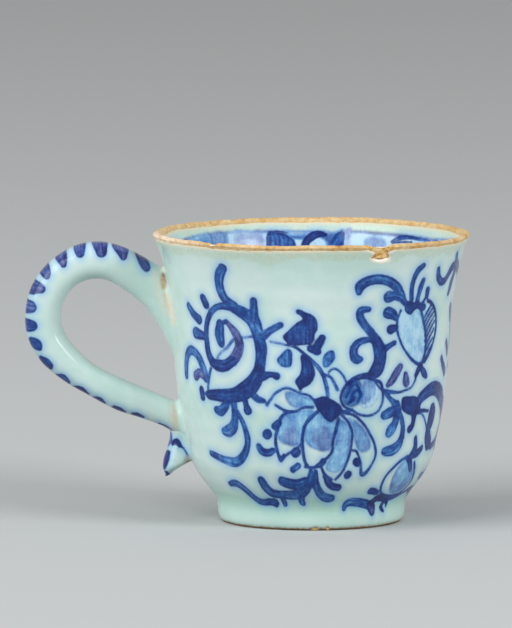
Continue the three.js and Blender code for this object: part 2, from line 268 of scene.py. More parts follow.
ROUND_BUD = [
    ("line", [(15.3, 37.2, 0.8), (17, 36.6, 0.8), (17.7, 35, 0.8), (18, 33.2, 0.8), (17.9, 31.4, 0.7),
        (17, 29.7, 0.7), (15.4, 28.8, 0.7), (13.6, 28.6, 0.7), (11.6, 29.1, 0.7), (10.2, 29.9, 0.7)]),
    ("blue", [(15.4, 37, 0.6), (16.6, 35.6, 0.6), (17.8, 34.4, 0.6)]),
    ("cobalt", [(8.2, 33.4, 0.9), (9.2, 35.6, 1), (10.4, 36.8, 1), (11.4, 35.4, 0.8)]),
    ("cobalt", [(9.4, 32.2, 0.8), (10, 34.2, 0.8), (11.2, 35, 0.8), (12, 33.8, 0.9), (11.2, 32.2, 0.6)]),
    ("navy", [(8.8, 31.8, 0.6), (9.9, 32.4, 0.8), (10.6, 33.4, 0.6)]),
    ("navy", [(16.2, 38.4, 1.2), (14.4, 38.4, 1.6), (12, 38.2, 1.6), (10, 37.6, 1.2), (8.3, 36.4, 0.9),
        (7.2, 34.6, 0.7), (7, 32.6, 0.7), (8, 31, 0.7), (9.6, 30.2, 0.7)]),
]
RIGHT_BRANCH = [
    ("cobalt", [(13.2, 54.4, 1.5), (11.4, 54.2, 1.9), (11.2, 52.6, 2), (12.3, 50.8, 2), (14, 48.8, 2.1),
        (15.6, 46.6, 2.6)]),
    ("navy", [(15.6, 46.6, 2.7), (16.6, 44.2, 3.4), (16.7, 41.8, 3.4), (16, 39.8, 3.6), (14.6, 38.4, 2.6)]),
    ("cobalt", [(17.3, 44.2, 2), (19.2, 45.3, 1.5), (20.6, 45.9, 1.4)]),
    ("cobalt", [(15.2, 46.4, 1.6), (13.8, 47, 1.4), (12.4, 46.9, 1.7), (11, 46.4, 1.9), (10, 45.2, 2.1),
        (9.9, 43.6, 2.2), (10.6, 42.4, 2.3), (11.6, 42.4, 1.5)]),
    ("violet", [(22.7, 40, 1.8), (21.6, 38.6, 2.2), (20.4, 36.9, 2.1), (19.3, 35.8, 1.4)]),
    ("violet", [(24.5, 38.1, 1.4), (24.7, 36.7, 2.2), (24.9, 36, 2.3)]),
    ("cobalt", [(18.3, 34.4, 1.2), (20.5, 34, 1), (22.6, 33.8, 0.7), (24.6, 34.1, 0.6), (26.6, 34.6, 0.6),
        (27.8, 36, 0.6), (28.4, 37.6, 0.8)]),
    ("cobalt", [(18.1, 34.4, 1), (20.2, 32.4, 1.2), (21.6, 31.2, 1.8), (22.5, 30.4, 2.2)]),
]
HANGING_BUD = [
    ("cobalt", [(10.6, 58.5, 1.4), (10.9, 60.1, 2.6), (12.4, 61.2, 2.6), (14.5, 61.6, 2.5), (16.6, 61.4, 2.4),
        (18.6, 60.5, 2.4), (20.2, 59.2, 2.4), (21.4, 57.6, 2.2), (22.4, 56, 1.7), (23.6, 54.8, 1.5)]),
    ("cobalt", [(18.2, 57.2, 3), (19.8, 57.3, 2.2), (21.6, 56.7, 2), (23, 55.3, 1.5)]),
    ("cobalt", [(18.4, 53.3, 3), (19.8, 52.7, 2.4), (20.9, 51.6, 1.2)]),
    ("navy", [(19.4, 49.2, 2.5), (20.8, 49.6, 1.6)]),
    ("cobalt", [(26.9, 64.2, 1.5), (25.6, 63.1, 1.7), (24.7, 61, 1.5), (24.5, 58.5, 1.4), (24.8, 56, 1.5)]),
    ("cobalt", [(27.9, 60.6, 1.5), (27.4, 59, 1.7), (26.9, 57, 1.4), (26.7, 55, 1.6)]),
    ("cobalt", [(30, 58.1, 1.7), (29.9, 56.6, 1.4)]),
    ("cobalt", [(29.9, 56.6, 0.8), (28.8, 55.2, 0.8), (27.8, 54.6, 0.9)]),
    ("cobalt", [(21.9, 53.6, 0.7), (21.2, 51.6, 0.7), (21.2, 49, 0.7), (22.3, 46.2, 0.7), (24, 43.7, 0.7),
        (26.2, 41.6, 0.8), (28.6, 40.2, 0.9), (30.2, 40.2, 1)]),
    ("cobalt", [(28.4, 53.2, 1), (30.2, 49.6, 0.9), (31.2, 46.4, 0.9), (31.3, 43.4, 0.9), (30.5, 40.6, 1)]),
    ("navy", [(30.6, 55.4, 1), (32.8, 54.3, 0.9), (34.5, 52.3, 0.9), (35.4, 49.9, 0.9), (35.3, 47.4, 0.9),
        (34.3, 44.4, 0.8), (32.9, 42.2, 0.8), (31.2, 40.5, 0.9)]),
    ("navy", [(28.2, 37.6, 1.4), (28.8, 38.6, 1.6), (29.6, 39.6, 1.8)]),
    ("navy", [(30, 39.3, 1.4), (31.2, 37.8, 2), (32.2, 36.9, 1.4)]),
    ("navy", [(27.8, 54.2, 1.6), (29.2, 53.9, 2)]),
]
BIG_SCROLL = [
    ("navy", [(32.8, 62.9, 1.4), (33.6, 60.8, 1.7), (35.2, 59.6, 2), (36.8, 59.6, 1.9), (38.4, 61, 2),
        (40, 62.6, 2.6), (42.5, 63.2, 2.4), (46, 61.8, 2.5)]),
    ("navy", [(40.8, 65.8, 1.5), (42.5, 63.4, 2)]),
    ("navy", [(40.8, 56.2, 1.4), (41.6, 58.2, 2.2), (42.8, 61, 2.4)]),
    ("navy", [(40.4, 40.5, 1.6), (42, 38.6, 2.2), (44, 36.8, 2.2)]),
    ("navy", [(43.7, 44, 2), (46, 41.3, 2.2)]),
    ("navy", [(45, 52.5, 2.4), (47, 50, 3)]),
    ("navy", [(29.9, 29.6, 2.2), (30.7, 31.5, 2.9), (33.2, 32.9, 3.3), (36.6, 33.6, 3.6), (40.1, 32.7, 3.8),
        (43.4, 30.7, 4), (46.4, 27.9, 3.8), (48.6, 25, 3.4)]),
    ("navy", [(48.6, 25, 3.2), (47.3, 21.3, 2.6), (44.4, 19.6, 2.2), (40.9, 18.9, 1.8)]),
    ("navy", [(37.5, 28.5, 3), (37.8, 26.9, 4.2), (37.6, 25.2, 3.8), (37, 23.6, 2.8), (37.6, 21.6, 3.4),
        (38.9, 20, 3.8)]),
    ("navy", [(30.9, 28.6, 1.2), (32.7, 28.5, 1), (35.2, 28.2, 0.9)]),
    ("blue", [(30.2, 28, 0.5), (31.9, 27.8, 0.5), (33.7, 26.7, 0.6), (35.1, 25, 0.6), (36, 23.2, 0.6)]),
    ("navy", [(28.9, 28.3, 2.4), (29, 26.5, 1.7), (28.8, 25.1, 1.8), (28, 24.4, 2.1)]),
]
LOWER_BRANCH = [
    ("cobalt", [(22.3, 31, 2), (22.9, 29.4, 2.4), (22.8, 28.2, 2.2)]),
    ("cobalt", [(18.9, 28.5, 2.4), (20.4, 29, 2.8), (22.4, 29.6, 2.4)]),
    ("blue", [(22.8, 28.2, 2.2), (22.4, 26.2, 2.3), (21.4, 24.8, 2.9), (20.9, 24, 2.4)]),
    ("cobalt", [(23.6, 28.6, 1.4), (24.8, 26.6, 1.4), (25.4, 24.4, 1.6), (25.4, 22.4, 2)]),
    ("blue", [(25.4, 22.4, 2), (24.6, 20.8, 2.6), (23, 19.8, 2.9), (21, 19.5, 2.6), (20, 19.5, 2)]),
    ("navy", [(31.1, 22, 1.4), (31.6, 20.2, 1.8), (31.4, 18.7, 2.3), (30.6, 17.6, 2.4)]),
    ("navy", [(35, 19.1, 1.8), (33.7, 18.3, 2.2), (32.2, 17.7, 1.8)]),
    ("navy", [(46.3, 18.6, 1.4), (49, 17.3, 1.4), (50.2, 15.9, 1)]),
    ("navy", [(29.2, 17.1, 1.4), (30.6, 16, 1.8), (31.6, 14.6, 1.6), (32.2, 13.7, 0.8)]),
    ("cobalt", [(28.9, 17.6, 1), (26.4, 16.7, 0.9), (24.2, 15.2, 0.9), (22.5, 13.4, 0.9), (22, 11.6, 0.9),
        (22.4, 10, 0.9), (23.8, 8.6, 1), (26.4, 7.8, 1), (30, 7.5, 1), (33.8, 8, 0.9), (36, 9.6, 0.9),
        (36, 11.6, 0.9), (34.6, 13.6, 0.9), (32.8, 15.8, 0.9)]),
    ("cobalt", [(18.7, 9.7, 1.8), (20.4, 9.4, 1.8), (22, 8.9, 1.3)]),
    ("cobalt", [(11.3, 5.4, 1.6), (11.6, 6.4, 2), (13, 6.9, 2.2), (15.6, 6.8, 2.3), (18.8, 6.3, 2.3),
        (21.7, 5.6, 2.1)]),
    ("plum", [(21, 5.9, 2.2), (22, 5.3, 2.8), (22.6, 4.6, 2.8), (23, 4, 2.2)]),
    ("plum", [(20.5, 6.1, 1.8), (21.8, 6.7, 2), (22.9, 7.4, 2.1), (24.6, 7.4, 1.8), (27.7, 6.8, 1.4)]),
    ("cobalt", [(27.7, 6.8, 1.2), (30.5, 6.8, 0.9), (33.5, 7.2, 0.8), (36.2, 7.9, 0.8), (39.6, 8.6, 1.2),
        (43, 8.8, 1)]),
    ("navy", [(27.8, 6.7, 1.5), (29.3, 5.9, 1.3), (29.4, 5.1, 0.8)]),
    ("navy", [(27.4, 6.2, 1.4), (26.7, 5.2, 1.5), (27.5, 4.4, 1.2), (28.6, 3.8, 0.7)]),
    ("navy", [(40.6, 8.4, 1.5), (46, 7, 1.4), (51.6, 4.9, 1.2)]),
]
BOTTOM_SCROLLS = [
    ("cobalt", [(-14.7, 12.5, 2.4), (-13.9, 10.7, 2.8), (-12.6, 9.5, 2.6), (-10.5, 9.1, 2.2), (-8, 9, 2.4),
        (-5, 9.1, 2.6), (-2.5, 10.1, 3.1), (-0.9, 12, 2.6), (-0.4, 14.2, 1.6), (-0.3, 15.6, 1)]),
    ("cobalt", [(-8.4, 12.6, 2.6), (-6.6, 12.1, 2.8), (-4, 11.9, 2.8), (-1.8, 12.6, 2.6)]),
    ("cobalt", [(-3.2, 8.6, 2.2), (-3.3, 7.4, 2), (-2.7, 6.8, 1.4)]),
    ("cobalt", [(-27, 10.8, 1.2), (-25.2, 11.2, 1.9), (-23.4, 11, 2.2), (-21.6, 9.8, 2.3), (-20.2, 8.4, 2.2),
        (-18.6, 7.2, 2), (-16.4, 6.8, 1.8), (-14, 7, 2), (-12.2, 6.8, 2.4)]),
    ("cobalt", [(-12.2, 7, 1.8), (-12.4, 6.2, 1.4)]),
    ("cobalt", [(-9.4, 8, 1.8), (-9, 6.7, 1.8)]),
    ("cobalt", [(1, 15.2, 1.2), (1, 12.6, 2), (1.8, 10.4, 2.4), (3.2, 8.9, 2.4), (5, 8.2, 2.4),
        (6.4, 8.2, 2)]),
    ("navy", [(3.6, 14, 1.4), (4.6, 12.3, 1.8), (6, 11.3, 2), (7.8, 11, 2)]),
]
SMALL_MARKS = [
    ("cobalt", [(-11.6, 24.1, 2.5), (-11.4, 24.3, 2.5)]),
    ("cobalt", [(-9.5, 26.2, 1.8), (-8.4, 27, 1.8)]),
    ("navy", [(-4.3, 19.8, 2.5), (-4.1, 20, 2.5)]),
    ("cobalt", [(-5.1, 15.6, 1.7), (-3.7, 16.6, 1.7)]),
    ("cobalt", [(-14.1, 21.1, 1.6), (-13.2, 19.9, 2.1), (-11.6, 19.6, 2), (-10.3, 20.2, 1.6)]),
    ("cobalt", [(-8.3, 18, 1.3), (-7.3, 19, 1.2)]),
    ("navy", [(9.9, 14.1, 2.1), (10.1, 14.3, 2.1)]),
    ("navy", [(12, 17.4, 2.2), (12.4, 17.1, 2.2)]),
]
ALL_STROKES = (RING_FLOWER + BIRD_BUD + MAIN_FLOWER + ROUND_BUD + RIGHT_BRANCH + HANGING_BUD + BIG_SCROLL
               + LOWER_BRANCH + BOTTOM_SCROLLS + SMALL_MARKS)

# Filled shapes in full colour: ink, then arc and height round the outline
SHAPES = [
    ("navy", [(-3.7, 54.5), (-2.9, 54.7), (-1.8, 54.1), (-0.1, 53.4), (1, 52.2), (1.3, 50.2), (0.7, 48.6),
        (0.3, 46.9), (-0.9, 46.1), (-5.4, 45.9), (-6.1, 46.6), (-6.9, 48), (-5.4, 49.7), (-3.7, 51.3),
        (-2.3, 52.2), (-2.6, 53), (-3.6, 53.7)]),
    ("blue", [(-5.9, 45.1), (-4.7, 44.4), (-4.8, 41.3), (-5.7, 40.6), (-7.5, 40.9), (-8.4, 42.4),
        (-7.3, 43.8)]),
    ("blue", [(4.1, 44.7), (5.2, 44.4), (5.3, 42.4), (4.1, 41), (2.9, 40.5), (2.4, 41.9), (2.8, 43.6)]),
    ("dark", [(-2.3, 43.8), (-1.2, 43.3), (-0.1, 41.9), (0.6, 40.2), (0.6, 38.3), (-0.4, 36.6), (-2.1, 35.6),
        (-2.9, 34.8), (-3.6, 36.1), (-4.1, 37.4), (-2.9, 39.1), (-2.6, 41.3), (-2.8, 43)]),
    ("dark", [(0.4, 32.8), (1.6, 33.4), (3.2, 33.7), (5.4, 32.6), (7.1, 31.2), (7.4, 29.8), (6, 28.1),
        (4.6, 27.3), (3.2, 28.1), (1.8, 29.8), (0.7, 31.4)]),
    ("dark", [(23.8, 30.9), (24.1, 32.4), (26.3, 32.6), (29, 32.3), (30.5, 31), (31.3, 28.8), (30.6, 27.8),
        (28.6, 27.6), (25.9, 28.3), (24.2, 29.4)]),
    ("navy", [(23, 53.8), (23.8, 55.8), (25.8, 55.4), (27.4, 55.8), (28, 54.1), (26.3, 53.4), (25.2, 52.4),
        (24.1, 52.6)]),
]

# Washes under the lines: ink, then arc and height round the outline
WASHES = [
    ("light", [(-6.6, 34.4), (-5.2, 34.9), (-3.6, 34.3), (-1.6, 33.7), (0.2, 32.6), (0.4, 31.4), (-1.5, 31),
        (-3.2, 30.6), (-5, 31.2), (-6.2, 32.4)]),
    ("light", [(-5.9, 29.7), (-2.4, 30.4), (0.6, 30.2), (-1, 28), (-2, 25.6), (-2.7, 22.4), (-5, 21.6),
        (-7.6, 22), (-9, 24), (-8.4, 26.6), (-7.3, 28.6)]),
    ("soft", [(-4, 26), (-3, 24.4), (-3, 22.6), (-4.4, 21.4), (-6.4, 21.6), (-7.9, 23), (-8, 24.8),
        (-6.4, 26.2)]),
    ("light", [(1.6, 29.8), (4.2, 27.6), (6.2, 27.6), (5.6, 24.4), (5, 20.8), (3, 20.2), (-0.4, 21.2),
        (-2, 23.4), (-1.6, 26.4), (-0.2, 28.4)]),
    ("soft", [(0.2, 25.4), (2.4, 26.6), (4.8, 25.8), (5.2, 23), (4.8, 20.8), (3, 20), (1, 20.8), (-0.4, 23)]),
    ("light", [(6.9, 28), (9.1, 26.6), (10, 23.6), (9.8, 19.8), (8.8, 16.6), (7, 15), (5, 15), (3.6, 16.2),
        (4.6, 18.4), (5.6, 21), (6, 24.6)]),
    ("light", [(8.9, 28.4), (11.6, 27.2), (14, 24.8), (15.6, 22), (15.4, 20.2), (13.6, 19.6), (12, 20.4),
        (11, 22.6), (10.6, 25), (9.6, 27)]),
    ("soft", [(12.8, 21.6), (14.8, 22), (15.6, 20.8), (14.6, 19.7), (12.8, 20)]),
    ("light", [(12.6, 37.4), (14.8, 37.2), (16, 35.6), (15.6, 33.4), (14, 31.8), (12.4, 31.8), (12.4, 34.8)]),
    ("pale", [(12.6, 37.6), (15, 37.2), (16.6, 35.8), (16.9, 33.4), (15.4, 31), (12.8, 30.4), (12, 32),
        (12.4, 34.8)]),
    ("blue", [(9, 37.4), (10.8, 38), (12.1, 36.8), (12.9, 34.6), (12.6, 32.6), (11.4, 31.4), (9.6, 30.8),
        (8, 31.4), (7.2, 33), (7.5, 35.6)]),
    ("faint", [(21.8, 53), (21.3, 50.8), (21.4, 48.3), (22.5, 46.1), (23.9, 43.9), (25.9, 42), (27.9, 40.6),
        (30, 40.7), (30.9, 43), (30.9, 45.8), (30.2, 48.6), (29.3, 50.8), (28, 52.6), (26.8, 53.4),
        (25.2, 52.4), (23.4, 53.6)]),
    ("faint", [(29.6, 52.4), (31, 55), (33, 54), (34.7, 52.2), (35.4, 49.9), (35.3, 47.4), (34.3, 44.4),
        (32.9, 42.2), (31, 40.6), (31.4, 43.4), (31.4, 46.4), (30.6, 49.6)]),
    ("light", [(28.6, 16.9), (26.4, 15.6), (25.2, 13.4), (25.4, 11), (27, 9), (29.4, 8.2), (33, 8.6),
        (35.2, 10.4), (34.6, 12.6), (32.8, 14.6), (30.8, 16.2)]),
    ("soft", [(25.4, 11.4), (26.8, 9.2), (29.6, 8.4), (33, 8.8), (35, 10.6), (33.4, 11.6), (30.6, 10.6),
        (28, 11)]),
]

# The shaded side of the hanging bud is hatched with slanting lines
BUD_HATCH = {
    "ink": "cobalt", "low": (31.4, 41.2), "high": (30, 51.4), "count": 8, "reach": (3.9, 4.6), "width": 0.66,
}

# Strokes that join the front's design to its mirrored copy at the back, on the side away from the handle
MIDDLE_ARC = TURN / 4
JOINING_STROKES = [
    ("cobalt", [(46, 61.8, 2.4), (48.5, 60.4, 2.2), (50.4, 58, 1.8), (51.8, 55.2, 1.6)]),
    ("navy", [(47, 28.6, 4), (49.4, 25.8, 3), (51.8, 22.8, 2.2)]),
    ("navy", [(47, 22, 3), (49, 24.6, 2.4), (50, 27.6, 1.6)]),
    ("cobalt", [(49.4, 13.6, 1.8), (51.8, 15.6, 2.6)]),
    ("blue", [(46.2, 12.4, 1.5), (44, 11.4, 2), (41.6, 11.8, 1.5)]),
]

# A small flower between the two copies: its stem and leaves, its middle, and one petal as distances from it
SIDE_STEM = [
    ("cobalt", [(51.6, 43, 1), (51.1, 38, 0.9), (52, 32, 0.9), (51.7, 24, 1.2)]),
    ("blue", [(51.2, 36.6, 1), (49.4, 38.2, 2.3), (47.6, 38, 1.2)]),
    ("blue", [(52, 31.6, 1), (53.9, 33.8, 2.5), (56, 34.2, 1.3)]),
]
SIDE_FLOWER = (51.8, 46.4)
PETAL = [(1, -0.5), (2.8, -1.8), (4.4, -1.2), (4.9, 0.1), (4.3, 1.3), (2.7, 1.7), (1, 0.5)]
PETALS = 5
PETAL_TURN = 0.2

# The band inside the lip is one motif three times over; arc is 0 at the back of the cup
BAND_REPEATS = 3
BAND_WASHES = [
    ("pale", [(-35, 66.4), (-25, 67), (-10, 66.9), (0, 66.4), (10, 66.8), (20, 66.4), (28, 66.4),
        (34.8, 66.2), (34.8, 60.8), (24, 60.5), (10, 60.8), (-8, 60.4), (-25, 60.7), (-35, 60.8)]),
    ("light", [(-35, 66), (-30.3, 66.7), (-25, 67.3), (-25, 61), (-29.3, 60.8), (-35, 61)]),
    ("light", [(22, 64.4), (29, 65), (34.8, 65.6), (34.8, 61), (28, 61), (23, 61.6)]),
    ("soft", [(-25.8, 66.6), (-24.6, 67.3), (-22.7, 67.6), (-20.5, 67.2), (-20, 66.2), (-20.4, 63),
        (-22.5, 61), (-25.6, 62)]),
    ("lilac", [(-18.6, 67.3), (-14, 67.2), (-11.3, 67), (-11.3, 61), (-18.6, 61)]),
    ("blue", [(-6, 66.8), (-4.3, 66.3), (-2.4, 66.2), (-0.8, 66.6), (-0.8, 64.6), (-2.9, 64.5), (-4.6, 64.6),
        (-5.8, 65.6)]),
    ("blue", [(2, 66), (4, 66.4), (6, 66.8), (8, 66.8), (8, 60.6), (3.5, 60.6), (3.4, 64), (2, 65)]),
    ("lilac", [(8, 66.9), (9.8, 67), (10, 60.8), (8.2, 60.8)]),
    ("soft", [(12.4, 64.8), (13.9, 65.9), (15.9, 66.1), (17.8, 65.9), (19.2, 64.8), (18.9, 62), (15.9, 61),
        (12.8, 62)]),
    ("violet", [(10, 67), (16, 67), (20.7, 66.9), (25.8, 66.8), (34.8, 66.5), (34.8, 65.8), (22, 66),
        (10, 66.3)]),
    ("soft", [(-35, 66.8), (-25, 67.4), (-10, 67.2), (3, 66.9), (3, 66.3), (-10, 66.5), (-25, 66.6),
        (-35, 66)]),
]
BAND_STROKES = [
    ("violet", [(-10, 66.7, 0.4), (-7.5, 66.8, 0.5), (-5.4, 66.5, 0.4)]),
    ("navy", [(-9.9, 66.1, 0.6), (-6.8, 66.1, 0.7), (-5, 65.3, 0.6)]),
    ("dark", [(-1.4, 61.6, 1.8), (-1.1, 64, 1.9), (0.6, 65.7, 2), (2.3, 66.1, 1.5), (3.6, 65.9, 0.9)]),
    ("cobalt", [(5.2, 61, 2), (5.6, 63.6, 2), (6.6, 65.4, 2), (7.3, 66.4, 0.9)]),
    ("cobalt", [(7.4, 61, 1.2), (7.4, 63.6, 1.2), (7.5, 66, 1.2)]),
    ("blue", [(20.4, 64.9, 0.9), (22.4, 65.9, 1.3), (25.4, 66.2, 1), (29, 66, 0.8), (32.8, 65.9, 0.4)]),
    ("navy", [(20.6, 64.6, 0.5), (23.5, 65, 0.5), (26.3, 65.2, 0.4)]),
]
BAND_SHAPES = [
    ("cobalt", [(-10.2, 66.4), (-6.4, 66.5), (-5, 65.6), (-3.6, 64.4), (-3.4, 61), (-6.6, 60.4),
        (-10.2, 60.8)]),
]

# Dashes over the outer face of the handle: ink, then x, height and width as seen from the side
HANDLE_DASHES = [
    ("dusk", [(-42.6, 65.7, 0.6), (-41.4, 64.1, 1.6), (-40.2, 62.4, 2.2), (-39.7, 61.6, 1.9)]),
    ("dusk", [(-46.3, 67.4, 3.9), (-45.6, 65.8, 3), (-45.3, 64.4, 1.9)]),
    ("dusk", [(-51.1, 68, 4), (-50.8, 66.6, 3.3), (-50.6, 65.5, 2.7)]),
    ("dusk", [(-56, 67.4, 3.2), (-55.9, 66.2, 2.9), (-55.8, 65.2, 2.2)]),
    ("dusk", [(-60.9, 65.6, 3.6), (-60.2, 63.9, 2.8), (-59.8, 62.5, 1.6)]),
    ("dusk", [(-64.8, 61.6, 3.4), (-64.1, 60.5, 2.7), (-63.9, 59.7, 1.8)]),
    ("dusk", [(-67.7, 57, 3.9), (-66.4, 56.9, 3.1), (-65.2, 56.6, 2.2)]),
    ("dusk", [(-68.8, 52.2, 3.5), (-67.8, 52.1, 3), (-67.2, 52, 2)]),
    ("navy", [(-68.8, 47.6, 3.4), (-67.6, 47.6, 2.9), (-66.9, 47.6, 1.8)]),
    ("navy", [(-67.6, 44.1, 1.5), (-66.4, 43.1, 2.7), (-65.6, 42.1, 1.3)]),
    ("navy", [(-65.3, 39.8, 1.1), (-64.2, 38.7, 2.2), (-63.2, 37.9, 1.8), (-63, 37.2, 1)]),
    ("navy", [(-61.4, 35.3, 1), (-60.1, 34.8, 2.1), (-58.9, 33.8, 1.4)]),
    ("navy", [(-57.3, 32.4, 1.1), (-55.8, 31.8, 2.2), (-54.3, 30.8, 1.4)]),
    ("navy", [(-52.7, 29.8, 1), (-51.4, 29.4, 1.8), (-50.2, 28.7, 1.1)]),
    ("navy", [(-47.6, 27.6, 1.2), (-46.5, 27.1, 1.5), (-45.2, 26.5, 0.9)]),
    ("navy", [(-43.2, 26.1, 0.8), (-42.1, 25.9, 1.2), (-40.7, 25.3, 0.7)]),
    ("navy", [(-36.8, 23.7, 0.6), (-35.4, 22.9, 1.1), (-34, 22, 0.9)]),
]
TAIL_MARKS = [
    ("violet", [(-34.4, 21, 1.4), (-34.2, 19.6, 1.2), (-34.7, 18.4, 0.8)]),
    ("dark", [(-33.5, 18.8, 0.9), (-32.6, 19.4, 1.6), (-31.7, 18.4, 1.1)]),
    ("cobalt", [(-31.7, 18.6, 0.6), (-30.6, 17.4, 0.4), (-29.8, 15.9, 0.3)]),
    ("navy", [(-34.6, 16.6, 1.2), (-35.4, 14.8, 2), (-35.8, 12.9, 1.2)]),
    ("dark", [(-35.2, 11.6, 1.2), (-34.8, 10.8, 1.6)]),
]

# Where clay shows through the outside coat under the chip: arc and height round the outline
FLAKE = [
    (10.9, 71), (11.2, 69.3), (12.1, 68.7), (12.9, 68.3), (13.4, 67.9), (13.1, 67.3), (12.4, 66.9),
    (13.2, 66.3), (15, 66.1), (16.8, 66.3), (17.5, 66.9), (17, 67.4), (16.9, 67.9), (17.3, 68.4), (18, 68.9),
    (18.8, 69.4), (19, 71),
]

# How far the pale crescent reaches under the flake: partly the glaze's broken edge, partly a painted
# highlight along it
UNDER_CHIP = 0.6

# Flaked spots of the foot: arc, height, then half sizes round and up
FOOT_FLAKES = [(1.2, 0.3, 1.3, 0.42), (5.7, 0.3, 0.45, 0.5), (60, 0.6, 1.3, 0.6), (-88, 0.5, 2, 0.5)]

# Scoops out of the lip's clay: angle from the front, radius, height, half sizes round, out and up, and way
LIP_SCOOPS = [
    (25.9, 38.5, 68.2, (2.7, 1, 2.6), "in"),
    (25.8, 37.4, 71.1, (4.2, 4, 1.85), "down"),
    (-39.2, 37.4, 70.9, (1.9, 4, 1.8), "down"),
    (-43, 37.4, 70.6, (3, 4, 0.85), "down"),
    (136.6, 37.4, 70.5, (0.8, 4, 0.8), "down"),
    (130.2, 37.4, 70.5, (1, 4, 0.8), "down"),
    (-150, 37.4, 70.5, (1.4, 4, 0.75), "down"),
    (80, 38.3, 69.8, (1.3, 0.5, 0.7), "in"),
]

# Stains at the joins and the tail from the side, and pale marks along the upper join that are partly slip and
# partly a painted highlight on its ridge: which side, strength, shade, then x, height and width
STAINS_AND_SHEEN = [
    ("front", 1, 0.1, [(-35.8, 59.9, 0.7), (-35.7, 58.4, 1.1), (-35.6, 57, 0.7)]),
    ("front", 0.6, 0.95, [(-35.9, 61.8, 0.3), (-35.8, 61, 0.5)]),
    ("front", 0.8, 0.95, [(-35.1, 55.4, 0.4), (-34.6, 53.8, 0.9), (-34, 51.8, 1), (-33.4, 49.8, 0.8),
        (-33, 48.4, 0.4)]),
    ("front", 0.7, 0.5, [(-35.5, 55.6, 0.2), (-35.1, 53.6, 0.3), (-34.6, 51.6, 0.2)]),
    ("front", 0.6, 0.6, [(-33.3, 28, 0.4), (-33.1, 26, 0.9), (-32.9, 24.2, 1), (-32.7, 22.6, 0.5)]),
    ("front", 0.7, 0.4, [(-29.8, 15.4, 1), (-29.8, 14.4, 1.3)]),
    ("front", 0.35, 1, [(-37.6, 60.6, 1.4), (-36.7, 57.6, 2.2), (-35.8, 54.4, 2.2), (-34.8, 51.4, 1.6)]),
    ("front", 0.3, 0.8, [(-33.8, 28.8, 1), (-33.4, 25.4, 2), (-33, 22.4, 1.6)]),
    ("back", 0.6, 0.4, [(-35.7, 59.2, 0.5), (-35.5, 57.6, 0.6)]),
    ("back", 0.4, 0.7, [(-33.1, 26.2, 0.9), (-32.9, 24.4, 1)]),
]

# Colours, as 0 to 255 values on a screen
GLAZE_COLOUR = (200, 222, 218)
GLAZE_GREEN = (185, 216, 208)
GLAZE_PALE = (208, 226, 223)
# Thick glaze pooled over the foot, with painted shade under the belly
GLAZE_POOLED_AND_SHADED = (160, 204, 188)
GLAZE_THIN = (185, 201, 176)
GLAZE_PINK = (211, 204, 188)
GLAZE_WORN = (218, 207, 178)
# Broken glaze edges, and the crescent under the flake that is partly a painted highlight
CRESCENT_COLOUR = (234, 222, 206)
SPECK_COLOUR = (120, 112, 92)
RUST_COLOUR = (150, 116, 84)
HALO_COLOUR = (112, 168, 226)
# Darker clay along the flake's lower edge and round the foot's base
DARK_EDGE_COLOUR = (80, 60, 44)
PIT_COLOUR = (112, 74, 44)
# The painted highlight on the top of the lip
LIP_HIGHLIGHT_COLOUR = (240, 220, 198)
FLOOR_SHOWN = (193, 196, 196)
FLOOR_LIT = (170, 170, 170)

# Colours along a scale from 0 to 1
BLUE_RAMP = [(0, (174, 212, 234)), (0.2, (124, 180, 220)), (0.4, (70, 129, 193)), (0.6, (34, 84, 155)),
             (0.78, (14, 53, 128)), (1, (6, 28, 102))]
VIOLET_RAMP = [(0, (182, 190, 220)), (0.3, (140, 146, 194)), (0.5, (92, 94, 154)), (0.75, (48, 46, 108)),
               (1, (22, 12, 68))]
CLAY_RAMP = [(0.28, (158, 110, 58)), (0.42, (202, 163, 106)), (0.56, (214, 185, 138)),
             (0.72, (231, 209, 173))]
CHIP_RAMP = [(0.32, (180, 124, 60)), (0.46, (216, 169, 96)), (0.58, (244, 216, 150))]
SLIP_RAMP = [(0.2, (86, 76, 62)), (0.5, (134, 120, 100)), (0.8, (180, 166, 142))]
# Stains from dark to pale; the palest end is also the painted highlight on the upper join's ridge
STAIN_AND_SHEEN_RAMP = [(0, (98, 84, 62)), (0.35, (146, 122, 90)), (0.65, (206, 178, 138)), (1, (230, 214, 196))]

# How each layer covers: strength, softness of its edge, depth of its streaks, and grains as size and swing
COVER = {
    "wash": (0.92, 0.5, 0.3, [(0.6, 0.2), (2, 0.5), (6, 0.5)]),
    "ink": (0.97, 0.2, 0.85, [(0.5, 0.35), (1.6, 0.6), (4, 0.5)]),
}

# How a mark's edge wanders, as size in mm and depth, and how the streaks stretch along the brush
EDGE_WANDER = [(0.9, 0.24), (3, 0.26)]
STREAK_STRETCH = (0.16, 1.6, 1)

# How far cobalt runs into the glaze round a stroke, how fast it fades, and its strength at the stroke
HALO_REACH = 2.6
HALO_FADE = 2.4
HALO_STRENGTH = 0.62

# The pool of thick glaze round the foot, deepened as painted shade under the belly where the wall meets the
# foot: heights of its low edge, of its thickest part and of its end
POOL_AND_SHADE_LOW = 1
POOL_AND_SHADE_MIDDLE = 6.5
POOL_AND_SHADE_HIGH = 11

# How much the surfaces reflect, where 0.5 is what glass does
SPECULAR = 0.27

# The photograph's view, fitted to its outline
CAMERA_PLACE = (2.1, -2000, 256.4)
CAMERA_AIM = (2.1, 0, 50)
SENSOR = 36
FOCAL_PIXELS = 8316
IMAGE_WIDTH = 512

# Soft lamps: place, width and power. The rest of the light comes evenly from all round.
LAMPS = {"key": ((-1710, -1200, 1200), 1800, 48.5), "fill": ((1690, -1230, 900), 900, 29)}
LAMP_AIM = (0, 0, 40)
SKY_STRENGTH = 0.46
FLOOR_HALF_METRES = 30.0


